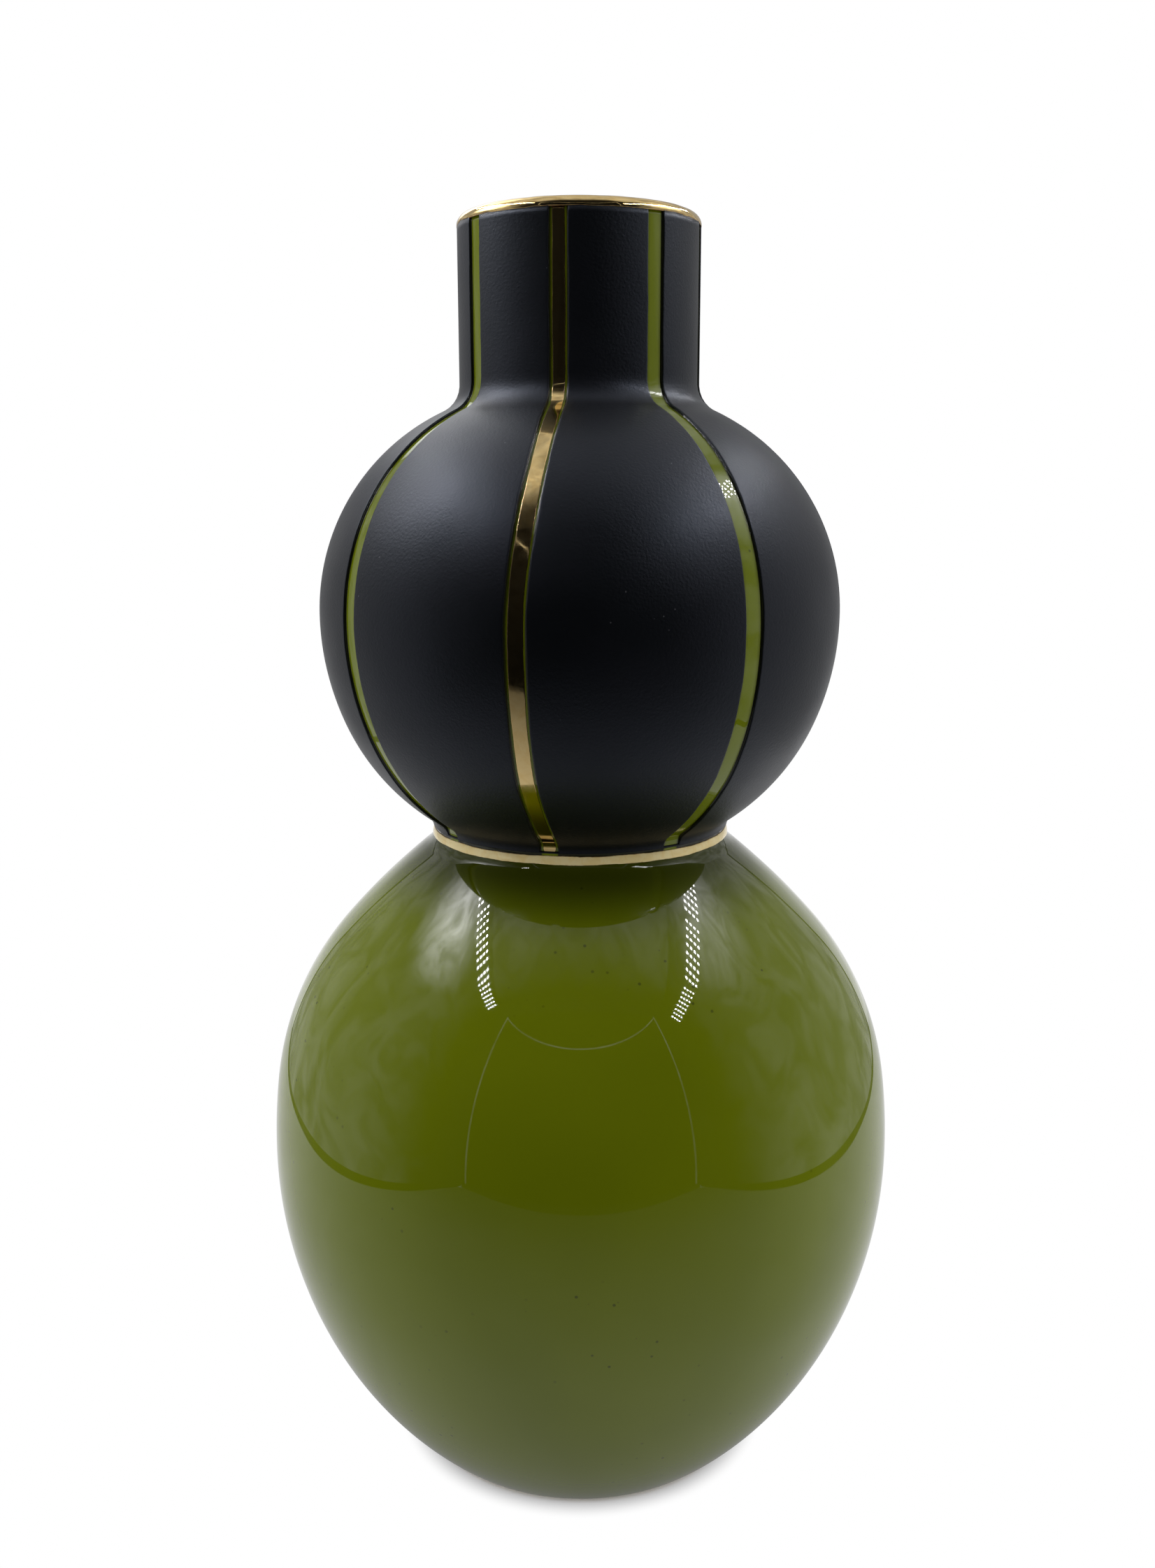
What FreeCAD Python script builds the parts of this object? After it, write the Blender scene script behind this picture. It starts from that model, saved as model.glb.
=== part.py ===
import FreeCAD
import Part
import math
import os

# Double gourd vase. Three castings are luted together at the waist and at the root of the
# neck, glazed green inside and out, coated matt black in eight gores and gilded.
#
# Every wall and coat follows one outline, the surface of the green glaze, which is a chain of
# tangent arcs from the foot up to the neck. A surface at another depth keeps the centres of
# the arcs and changes their radii, so all layers stay parallel. Depth counts inwards from
# the green surface, and is negative for what stands proud of it.
#
# Lengths are in millimetres and angles in degrees. Z is up, the foot stands on Z = 0, and the
# side that faces the viewer looks along -Y.

# Outline of the green surface
VASE_HEIGHT = 315.0          # foot to the top of the gilded lip
FOOT_RADIUS = 43.7
BELLY_RADIUS = 80.8          # widest ring of the lower gourd
BELLY_HEIGHT = 82.4
WAIST_RADIUS = 37.55         # narrowest ring, in the hollow between the gourds
WAIST_HEIGHT = 166.0
WAIST_HOLLOW = 5.0
BALL_RADIUS = 64.55          # widest ring of the upper gourd
BALL_HEIGHT = 220.5
NECK_RADIUS = 29.05
NECK_ROOT_HOLLOW = 7.4

# Places where two arcs of the outline meet, as shares of the way in from the widest ring to
# the hollow it leads to, and of the way up or down to that hollow
BELLY_SHARES = ((0.0284, 0.2275), (0.4435, 0.6987))   # crown and shoulder, below the waist
BALL_UNDER_SHARES = ((0.2064, 0.4917),)               # above the waist
BALL_OVER_SHARES = ((0.2736, 0.5552),)                # below the neck
NECK_ROOT_SHARE = 0.587      # end of the hollow under the neck, on the way from ball to lip

# Clay
CLAY_WALL = 3.0
FLOOR_THICKNESS = 4.5
FLOOR_CORNER = 8.0           # inside corner where the wall meets the floor
FOOT_RING_WIDTH = 6.0
FOOT_RECESS = 2.5            # underside stands this far off the table
FOOT_RECESS_DRAFT = 1.2      # how much the recess narrows over its height
FOOT_EDGE = 0.5              # small bevel on the bare foot

# Luted joints, each a half lap with a film of slip between the two steps
LAP_HEIGHT = 5.0
SLIP_BED = 0.4
NECK_SEAM_RISE = 2.6         # lower step of the neck joint above the end of its hollow

# Coats
GLAZE = 0.4
BLACK = 0.3
GOLD = 0.15
BARE_FOOT = 1.2              # glaze stops this far above the table
BASE_GLAZE_EDGE = 0.6        # glaze on the underside stops this far from the ring
RIM_SWELL = 0.25             # bead of glaze under the gilded lip

# Stripes and bands
STRIPES = 8                  # green and gold take turns
FIRST_GOLD_TURN = -11.0      # first gold stripe, from the viewer's side towards +X
GROOVE_WIDTH = 4.6
GROOVE_DEPTH = 0.6
GOLD_STRIPE_WIDTH = 3.3
HEM_RISE = 0.8               # lower edge of the black, above the narrowest ring
HEM_HEIGHT = 0.6             # black ring under the ends of the stripes
BAND_DROP = 1.9              # lower edge of the gold waist band, below the narrowest ring
BAND_HEIGHT = 2.1
LIP_BAND_HEIGHT = 2.44
LIP_BAND_INNER_TURN = 60.0   # how far the gold runs over the crown into the mouth

# Helpers of the construction
OVERRUN = 5.0                # how far a cutting tool passes what it cuts
SAME_PLACE = 1e-6            # two points closer than this are one
FULL_TURN = 360.0
HALF_TURN = FULL_TURN / 2
QUARTER_TURN = FULL_TURN / 4
VIEWER_TURN = -QUARTER_TURN  # the viewer's side, as a turn from +X

# Places that follow from the sizes above
CLAY_OUTSIDE = GLAZE
CLAY_INSIDE = GLAZE + CLAY_WALL
LINING_INSIDE = CLAY_INSIDE + GLAZE
CLAY_FLOOR = FOOT_RECESS + FLOOR_THICKNESS
LIP_LEVEL = VASE_HEIGHT - LIP_BAND_HEIGHT
NECK_START = BALL_HEIGHT + NECK_ROOT_SHARE * (VASE_HEIGHT - BALL_HEIGHT)
NECK_LAP_LEVEL = NECK_START + NECK_SEAM_RISE
HALF_WALL = CLAY_WALL / 2
CROWN_RADIUS = NECK_RADIUS - GLAZE - HALF_WALL
CROWN_HEIGHT = VASE_HEIGHT - GOLD
RIM_IN = GLAZE + HALF_WALL
RIM_OUT = RIM_IN + RIM_SWELL
CLAY_RIM = (CROWN_RADIUS, CROWN_HEIGHT - GLAZE - HALF_WALL)
GLAZE_RIM_IN = (CROWN_RADIUS, CROWN_HEIGHT - RIM_IN)
GLAZE_RIM_OUT = (CROWN_RADIUS, CROWN_HEIGHT - RIM_OUT)
HEM_LEVEL = WAIST_HEIGHT + HEM_RISE
STRIPE_LEVEL = HEM_LEVEL + HEM_HEIGHT
BAND_LEVEL = WAIST_HEIGHT - BAND_DROP
WAIST_LAP_LEVEL = WAIST_HEIGHT - LAP_HEIGHT / 2
CLAY_GROOVE_WIDTH = GROOVE_WIDTH + 2 * GLAZE
CLAY_GROOVE_LEVEL = STRIPE_LEVEL - GLAZE
CLAY_GROOVE_FLOOR = CLAY_OUTSIDE + GROOVE_DEPTH
SLAB_LENGTH = BALL_RADIUS + OVERRUN


def polar(centre, radius, turn):
    """Point at a turn above the horizontal, round a centre in the plane of the outline."""
    angle = math.radians(turn)
    return (centre[0] + radius * math.cos(angle), centre[1] + radius * math.sin(angle))


def arc(centre, radius, turn_1, turn_2):
    """Arc as its start, middle and end."""
    middle = (turn_1 + turn_2) / 2
    return (
        polar(centre, radius, turn_1),
        polar(centre, radius, middle),
        polar(centre, radius, turn_2),
    )


def backwards(path):
    """The same run of arcs and points, from its end to its start."""
    return [item[::-1] if len(item) == 3 else item for item in reversed(path)]


class Bow:
    """One arc of the outline, between two turns of its outward normal.

    The radius is positive where the wall bulges and negative where it is hollow.
    """

    def __init__(self, centre, radius, turn_1, turn_2):
        self.centre = centre
        self.radius = radius
        self.turn_1 = turn_1
        self.turn_2 = turn_2

    def point(self, depth, turn):
        return polar(self.centre, self.radius - depth, turn)

    def turn_at(self, depth, height):
        """Turn of the normal where the arc crosses a height."""
        rise = (height - self.centre[1]) / (self.radius - depth)
        return math.degrees(math.asin(max(-1.0, min(1.0, rise))))

    def between(self, depth, low, high):
        """The part of the arc between two heights, or None."""
        bottom = max(low, self.point(depth, self.turn_1)[1])
        top = min(high, self.point(depth, self.turn_2)[1])
        if top - bottom < SAME_PLACE:
            return None
        turn_1 = self.turn_at(depth, bottom)
        turn_2 = self.turn_at(depth, top)
        return arc(self.centre, self.radius - depth, turn_1, turn_2)


def bow_through(start, turn, end):
    """Arc that leaves a point at a turn and passes through another point."""
    way = (end[0] - start[0], end[1] - start[1])
    upwards = math.copysign(1.0, way[1])
    chord_turn = math.degrees(math.atan2(upwards * way[1], upwards * way[0])) - QUARTER_TURN
    bend = math.radians(chord_turn - turn)
    radius = math.dist(start, end) / (2 * abs(math.sin(bend)))
    return Bow(polar(start, -radius, turn), radius, turn, 2 * chord_turn - turn)


def closing_bow(start, turn, hollow):
    """Arc that leaves a point at a turn and runs smoothly into a hollow."""
    way = (hollow.centre[0] - start[0], hollow.centre[1] - start[1])
    angle = math.radians(turn)
    along = way[0] * math.cos(angle) + way[1] * math.sin(angle)
    span = way[0] ** 2 + way[1] ** 2
    radius = (span - hollow.radius**2) / (-2 * (hollow.radius + along))
    centre = polar(start, -radius, turn)
    end_turn = math.atan2(hollow.centre[1] - centre[1], hollow.centre[0] - centre[0])
    return Bow(centre, radius, turn, math.degrees(end_turn))


def ring_to_hollow(ring, hollow, shares):
    """Arcs from a widest ring, where the wall is upright, to the hollow it leads to.

    Each pair of shares places the end of one arc.
    """
    way_in = hollow.centre[0] + hollow.radius - ring[0]
    way_along = hollow.centre[1] - ring[1]
    place, turn, bows = ring, 0, []
    for share_in, share_along in shares:
        end = (ring[0] + share_in * way_in, ring[1] + share_along * way_along)
        bows.append(bow_through(place, turn, end))
        place, turn = end, bows[-1].turn_2
    return bows + [closing_bow(place, turn, hollow)]


def downside_up(bows):
    """The same arcs, listed upwards after they were laid out downwards."""
    return [Bow(bow.centre, bow.radius, bow.turn_2, bow.turn_1) for bow in reversed(bows)]


def outer_bows():
    """Arcs of the outline from the table up to the end of the hollow under the neck."""
    belly = (BELLY_RADIUS, BELLY_HEIGHT)
    ball = (BALL_RADIUS, BALL_HEIGHT)
    waist = Bow((WAIST_RADIUS + WAIST_HOLLOW, WAIST_HEIGHT), -WAIST_HOLLOW, 0, 0)
    root = Bow((NECK_RADIUS + NECK_ROOT_HOLLOW, NECK_START), -NECK_ROOT_HOLLOW, 0, 0)
    under_belly = downside_up([bow_through(belly, 0, (FOOT_RADIUS, 0))])
    over_belly = ring_to_hollow(belly, waist, BELLY_SHARES)
    under_ball = downside_up(ring_to_hollow(ball, waist, BALL_UNDER_SHARES))
    over_ball = ring_to_hollow(ball, root, BALL_OVER_SHARES)
    waist.turn_1 = over_belly[-1].turn_2
    waist.turn_2 = under_ball[0].turn_1
    root.turn_1 = over_ball[-1].turn_2
    return under_belly + over_belly + [waist] + under_ball + over_ball + [root]


BOWS = outer_bows()


def outline(depth, low, high, bows=BOWS):
    """Surface at a depth as arcs, upwards from one height to another, ending in the neck."""
    arcs = [bow.between(depth, low, high) for bow in bows]
    path = [item for item in arcs if item]
    if high > NECK_START:
        path.append((NECK_RADIUS - depth, max(low, NECK_START)))
        path.append((NECK_RADIUS - depth, high))
    return path


def cavity_bows():
    """Arcs of the inside, where a rounded corner replaces the lowest part of the outline."""
    under_belly = BOWS[0]
    corner_height = CLAY_FLOOR + FLOOR_CORNER
    reach = under_belly.radius - CLAY_INSIDE - FLOOR_CORNER
    drop = under_belly.centre[1] - corner_height
    corner_radius = under_belly.centre[0] + math.sqrt(reach**2 - drop**2)
    corner_turn = -math.degrees(math.asin(drop / reach))
    corner_centre = (corner_radius, corner_height)
    corner = Bow(corner_centre, FLOOR_CORNER + CLAY_INSIDE, -QUARTER_TURN, corner_turn)
    wall = Bow(under_belly.centre, under_belly.radius, corner_turn, 0)
    return [corner, wall] + BOWS[1:]


CAVITY_BOWS = cavity_bows()


def radius_at(depth, height):
    """Radius of the surface at a depth and a height."""
    start = outline(depth, height, height + OVERRUN)[0]
    return start[0][0] if len(start) == 3 else start[0]


def cavity(depth, high):
    """Inside surface at a depth, from the axis along the floor and up to a height."""
    floor = CLAY_FLOOR + depth - CLAY_INSIDE
    return [(0, floor)] + outline(depth, floor, high, CAVITY_BOWS)


def lathe(path):
    """Solid turned about the Z axis from a closed run of points and arcs."""
    ends = [(item[0], item[-1]) if len(item) == 3 else (item, item) for item in path]
    here = ends[-1][1]
    edges = []
    for item, (start, end) in zip(path, ends):
        if math.dist(here, start) > SAME_PLACE:
            edges.append(Part.makeLine(in_plane(here), in_plane(start)))
        if len(item) == 3:
            edges.append(Part.Arc(*[in_plane(place) for place in item]).toShape())
        here = end
    face = Part.Face(Part.Wire(edges))
    return face.revolve(FreeCAD.Vector(0, 0, 0), FreeCAD.Vector(0, 0, 1), FULL_TURN)


def in_plane(place):
    """Point of the outline as a point in space."""
    return FreeCAD.Vector(place[0], 0, place[1])


def skin(outside, inside, low, high):
    """Coat between two depths and two heights."""
    return lathe(outline(outside, low, high) + backwards(outline(inside, low, high)))


def slab(width, low, high, turn):
    """Upright slab from the axis outwards, centred on a turn from the viewer's side."""
    box = Part.makeBox(SLAB_LENGTH, width, high - low, FreeCAD.Vector(0, -width / 2, low))
    box.rotate(FreeCAD.Vector(0, 0, 0), FreeCAD.Vector(0, 0, 1), VIEWER_TURN + turn)
    return box


def stripe_turns(count):
    """Turns of evenly spaced stripes, from the first gold one on."""
    return [FIRST_GOLD_TURN + FULL_TURN / count * step for step in range(count)]


def slabs(width, low, high):
    """One slab for each stripe."""
    return [slab(width, low, high, turn) for turn in stripe_turns(STRIPES)]


def grooves(width, floor, low, high):
    """Tool that cuts all grooves down to a depth."""
    bottom = low - OVERRUN
    top = high + OVERRUN
    core = lathe([(0, bottom)] + outline(floor, bottom, top) + [(0, top)])
    return Part.makeCompound([piece.cut(core) for piece in slabs(width, low, high)])


CLAY_GROOVES = grooves(CLAY_GROOVE_WIDTH, CLAY_GROOVE_FLOOR, CLAY_GROOVE_LEVEL, LIP_LEVEL)


def wall_middle(level):
    """Radius at mid wall, where the step of a lap stands."""
    outside = outline(CLAY_OUTSIDE, level, level + LAP_HEIGHT)
    inside = outline(CLAY_INSIDE, level, level + LAP_HEIGHT)
    return (min(radii(outside)) + max(radii(inside))) / 2


def radii(path):
    """Radii of all points of a run."""
    places = []
    for item in path:
        places += list(item) if len(item) == 3 else [item]
    return [place[0] for place in places]


def step_up(level):
    """Top edge of a casting at a lap, from outside in: its inner half stands up."""
    middle = wall_middle(level) - SLIP_BED / 2
    return [(middle, level), (middle, level + LAP_HEIGHT - SLIP_BED)]


def step_down(level):
    """Bottom edge of the casting above, from inside out: its outer half hangs down."""
    middle = wall_middle(level) + SLIP_BED / 2
    return [(middle, level + LAP_HEIGHT), (middle, level + SLIP_BED)]


def foot_ring():
    """Outer and inner radius of the flat that the vase stands on."""
    outer = radius_at(CLAY_OUTSIDE, FOOT_EDGE) - FOOT_EDGE
    return outer, outer - FOOT_RING_WIDTH


def lower_gourd():
    """Lower casting with its foot ring, floor and half of the waist joint."""
    top = WAIST_LAP_LEVEL + LAP_HEIGHT - SLIP_BED
    foot_out, foot_in = foot_ring()
    path = [(foot_out, 0)] + outline(CLAY_OUTSIDE, FOOT_EDGE, WAIST_LAP_LEVEL)
    path += step_up(WAIST_LAP_LEVEL) + backwards(cavity(CLAY_INSIDE, top))
    path += [(0, FOOT_RECESS), (foot_in - FOOT_EDGE - FOOT_RECESS_DRAFT, FOOT_RECESS)]
    path += [(foot_in - FOOT_EDGE, FOOT_EDGE), (foot_in, 0)]
    return lathe(path)


def upper_gourd():
    """Middle casting, the ball, between the two luted joints."""
    bottom = WAIST_LAP_LEVEL + LAP_HEIGHT
    top = NECK_LAP_LEVEL + LAP_HEIGHT - SLIP_BED
    path = outline(CLAY_OUTSIDE, WAIST_LAP_LEVEL + SLIP_BED, NECK_LAP_LEVEL)
    path += step_up(NECK_LAP_LEVEL) + backwards(outline(CLAY_INSIDE, bottom, top))
    path += step_down(WAIST_LAP_LEVEL)
    return lathe(path).cut(CLAY_GROOVES)


def neck_collar():
    """Top casting, the straight neck with its rounded clay rim."""
    path = [(NECK_RADIUS - CLAY_OUTSIDE, NECK_LAP_LEVEL + SLIP_BED)]
    path += [arc(CLAY_RIM, HALF_WALL, 0, QUARTER_TURN)]
    path += [arc(CLAY_RIM, HALF_WALL, QUARTER_TURN, HALF_TURN)]
    path += [(NECK_RADIUS - CLAY_INSIDE, NECK_LAP_LEVEL + LAP_HEIGHT)]
    path += step_down(NECK_LAP_LEVEL)
    return lathe(path).cut(CLAY_GROOVES)


def luting_ring(level):
    """Film of slip in a lap: two flat beds joined by an upright one."""
    top = level + LAP_HEIGHT
    path = outline(CLAY_OUTSIDE, level, level + SLIP_BED) + step_down(level)[::-1]
    path += backwards(outline(CLAY_INSIDE, top - SLIP_BED, top)) + step_up(level)[::-1]
    return lathe(path).cut(CLAY_GROOVES)


def lower_green_glaze():
    """Outer glaze from just above the foot to the seam at the waist."""
    return skin(0, CLAY_OUTSIDE, BARE_FOOT, WAIST_HEIGHT)


def upper_green_glaze():
    """Outer glaze of the ball and neck, which lines the grooves and swells at the rim.

    It starts as a coat as deep as the grooves in the clay, loses the glazed grooves, and then
    the clay that stands between them.
    """
    outside = outline(0, WAIST_HEIGHT, LIP_LEVEL)
    outside += [(CROWN_RADIUS + RIM_OUT, LIP_LEVEL), arc(GLAZE_RIM_OUT, RIM_OUT, 0, QUARTER_TURN)]
    inside = outline(CLAY_GROOVE_FLOOR, WAIST_HEIGHT, LIP_LEVEL)
    inside += outline(CLAY_OUTSIDE, LIP_LEVEL, CLAY_RIM[1])
    inside += [arc(CLAY_RIM, HALF_WALL, 0, QUARTER_TURN)]
    glazed = grooves(GROOVE_WIDTH, GROOVE_DEPTH, STRIPE_LEVEL, LIP_LEVEL)
    ribs = skin(CLAY_OUTSIDE, CLAY_GROOVE_FLOOR, WAIST_HEIGHT, LIP_LEVEL)
    ribs = ribs.cut(Part.makeCompound(slabs(CLAY_GROOVE_WIDTH, CLAY_GROOVE_LEVEL, LIP_LEVEL + OVERRUN)))
    return lathe(outside + backwards(inside)).cut(Part.makeCompound([glazed, ribs]))


def inner_glaze_lining():
    """Glaze of the whole inside, over the rim as far as its crown."""
    outside = cavity(CLAY_INSIDE, CLAY_RIM[1]) + [arc(CLAY_RIM, HALF_WALL, HALF_TURN, QUARTER_TURN)]
    inside = cavity(LINING_INSIDE, GLAZE_RIM_IN[1])
    inside += [arc(GLAZE_RIM_IN, RIM_IN, HALF_TURN, QUARTER_TURN)]
    return lathe(outside + backwards(inside))


def base_glaze():
    """Glaze on the underside, inside the foot ring."""
    radius = foot_ring()[1] - FOOT_EDGE - FOOT_RECESS_DRAFT - BASE_GLAZE_EDGE
    return Part.makeCylinder(radius, GLAZE, FreeCAD.Vector(0, 0, FOOT_RECESS - GLAZE))


def black_gores():
    """Matt black between the stripes, in order round the vase."""
    coat = skin(-BLACK, 0, STRIPE_LEVEL, LIP_LEVEL)
    tools = slabs(GROOVE_WIDTH, STRIPE_LEVEL - OVERRUN, LIP_LEVEL + OVERRUN)
    pieces = coat.cut(Part.makeCompound(tools)).Solids
    start = FIRST_GOLD_TURN + VIEWER_TURN
    return sorted(pieces, key=lambda piece: (bearing(piece) - start) % FULL_TURN)


def bearing(piece):
    """Turn of a piece's middle about the axis, from +X."""
    middle = piece.CenterOfMass
    return math.degrees(math.atan2(middle.y, middle.x))


def black_hem():
    """Black ring that joins the gores under the ends of the stripes."""
    return skin(-BLACK, 0, HEM_LEVEL, STRIPE_LEVEL)


def gold_stripes():
    """Gold laid on the floor of every second groove."""
    coat = skin(GROOVE_DEPTH - GOLD, GROOVE_DEPTH, STRIPE_LEVEL, LIP_LEVEL)
    tools = slabs(GOLD_STRIPE_WIDTH, STRIPE_LEVEL, LIP_LEVEL)[::2]
    return [coat.common(tool) for tool in tools]


def gold_waist_band():
    """Gold line in the hollow between the gourds."""
    return skin(-GOLD, 0, BAND_LEVEL, BAND_LEVEL + BAND_HEIGHT)


def gold_lip_band():
    """Gold over the rim, from the top of the black into the mouth."""
    end = QUARTER_TURN + LIP_BAND_INNER_TURN
    edge = CROWN_RADIUS + RIM_OUT
    path = [(edge, LIP_LEVEL), (edge + GOLD, LIP_LEVEL)]
    path += [arc(GLAZE_RIM_OUT, RIM_OUT + GOLD, 0, QUARTER_TURN)]
    path += [arc(GLAZE_RIM_IN, RIM_IN + GOLD, QUARTER_TURN, end)]
    path += [arc(GLAZE_RIM_IN, RIM_IN, end, QUARTER_TURN)]
    path += [arc(GLAZE_RIM_OUT, RIM_OUT, QUARTER_TURN, 0)]
    return lathe(path)


def write(name, shape):
    """Save one piece, after a check that it is a sound solid."""
    solids = shape.Solids
    print(name, "solids", len(solids), "valid", shape.isValid(), "volume", round(shape.Volume, 2))
    solid = solids[0] if len(solids) == 1 else shape
    solid.exportStep(os.path.join("parts", name + ".step"))


def main():
    os.makedirs("parts", exist_ok=True)
    write("lower_gourd", lower_gourd())
    write("upper_gourd", upper_gourd())
    write("neck_collar", neck_collar())
    write("waist_luting_ring", luting_ring(WAIST_LAP_LEVEL))
    write("neck_luting_ring", luting_ring(NECK_LAP_LEVEL))
    write("lower_green_glaze", lower_green_glaze())
    write("upper_green_glaze", upper_green_glaze())
    write("inner_glaze_lining", inner_glaze_lining())
    write("base_glaze", base_glaze())
    write("black_hem", black_hem())
    for number, gore in enumerate(black_gores(), 1):
        write(f"black_gore_{number}", gore)
    for number, stripe in enumerate(gold_stripes(), 1):
        write(f"gold_stripe_{number}", stripe)
    write("gold_waist_band", gold_waist_band())
    write("gold_lip_band", gold_lip_band())


main()
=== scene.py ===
"""Dresses the double gourd vase: its coats, its gilding, its bare clay and the light it stands in.

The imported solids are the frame. The coats that show are made again here as fine surfaces over the
same outline, which is a chain of tangent arcs. Sizes are in millimetres and turns in radians; a
mesh is scaled to metres when it is written. A bearing is a turn about the upright axis, from the
viewer's side (-Y) towards +X. Depth counts inwards from the surface of the green glaze.
"""
import logging
import math
from dataclasses import dataclass, field, replace
from enum import Enum

import bpy
import numpy as np
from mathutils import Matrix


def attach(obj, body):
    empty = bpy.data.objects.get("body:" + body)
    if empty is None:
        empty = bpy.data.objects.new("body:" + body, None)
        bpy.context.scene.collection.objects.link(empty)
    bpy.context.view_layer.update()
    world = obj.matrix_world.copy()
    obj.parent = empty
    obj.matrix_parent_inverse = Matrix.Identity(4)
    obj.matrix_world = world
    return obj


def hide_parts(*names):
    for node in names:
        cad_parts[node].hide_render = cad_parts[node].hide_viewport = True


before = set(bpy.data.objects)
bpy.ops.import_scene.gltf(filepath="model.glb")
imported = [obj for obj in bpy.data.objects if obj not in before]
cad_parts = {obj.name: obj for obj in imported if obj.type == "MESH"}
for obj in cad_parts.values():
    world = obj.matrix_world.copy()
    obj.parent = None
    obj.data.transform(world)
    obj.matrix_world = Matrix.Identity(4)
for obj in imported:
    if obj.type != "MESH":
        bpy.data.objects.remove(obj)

METRES = 0.001
FULL_TURN = 2.0 * math.pi
QUARTER_TURN = FULL_TURN / 4.0
UP = (0.0, 0.0, 1.0)
BODY = "root"
LOG = logging.getLogger("double_gourd_vase")

Place = tuple[float, float, float]
Colour = tuple[float, float, float]
Socket = bpy.types.NodeSocket
Material = bpy.types.Material
Thing = bpy.types.Object


class Stripe(Enum):
    """What lies on the floor of a groove."""

    GOLD = 0
    GREEN = 1


class Side(Enum):
    """Left or right of the vase, as the sign of X."""

    LEFT = -1.0
    RIGHT = 1.0


@dataclass(frozen=True)
class Bow:
    """One arc of the outline.

    A point at a turn is the centre plus the radius along that turn. The radius is positive where
    the wall bulges and negative where it is hollow.
    """

    across: float
    height: float
    radius: float
    turn_1: float
    turn_2: float

    def point(self, turn: float) -> tuple[float, float]:
        """Radius and height at a turn."""
        return self.across + self.radius * math.cos(turn), self.height + self.radius * math.sin(turn)

    def length(self) -> float:
        """Length of the arc."""
        return abs(self.radius * (self.turn_2 - self.turn_1))

    def upwards(self) -> "Bow":
        """The same arc, listed from its lower end.

        Returns:
            The arc.
        """
        if self.point(self.turn_1)[1] <= self.point(self.turn_2)[1]:
            return self
        return replace(self, turn_1=self.turn_2, turn_2=self.turn_1)


def bow_through(start: tuple[float, float], turn: float, end: tuple[float, float]) -> Bow:
    """Arc that leaves a point at a turn and passes through another.

    The chord's turn is the mean of the turns at both ends, so the far turn is twice the chord's
    less the near one, and the radius is half the chord over the sine of half the bend.

    Args:
        start: radius and height of the near end.
        turn: turn of the outward normal there.
        end: radius and height of the far end.

    Returns:
        The arc.
    """
    way = (end[0] - start[0], end[1] - start[1])
    upwards = math.copysign(1.0, way[1])
    chord = math.atan2(upwards * way[1], upwards * way[0]) - QUARTER_TURN
    radius = math.dist(start, end) / (2.0 * abs(math.sin(chord - turn)))
    centre = (start[0] - radius * math.cos(turn), start[1] - radius * math.sin(turn))
    return Bow(centre[0], centre[1], radius, turn, 2.0 * chord - turn)


def bow_into(start: tuple[float, float], turn: float, hollow: Bow) -> Bow:
    """Arc that leaves a point at a turn and runs smoothly into a hollow.

    Its centre lies behind the start along the normal, as far as makes the distance between both
    centres the sum of both radii.

    Args:
        start: radius and height of the near end.
        turn: turn of the outward normal there.
        hollow: the arc that it meets.

    Returns:
        The arc.
    """
    way = (hollow.across - start[0], hollow.height - start[1])
    along = way[0] * math.cos(turn) + way[1] * math.sin(turn)
    span = way[0] ** 2 + way[1] ** 2
    radius = (span - hollow.radius**2) / (-2.0 * (hollow.radius + along))
    centre = (start[0] - radius * math.cos(turn), start[1] - radius * math.sin(turn))
    end_turn = math.atan2(hollow.height - centre[1], hollow.across - centre[0])
    return Bow(centre[0], centre[1], radius, turn, end_turn)


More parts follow.
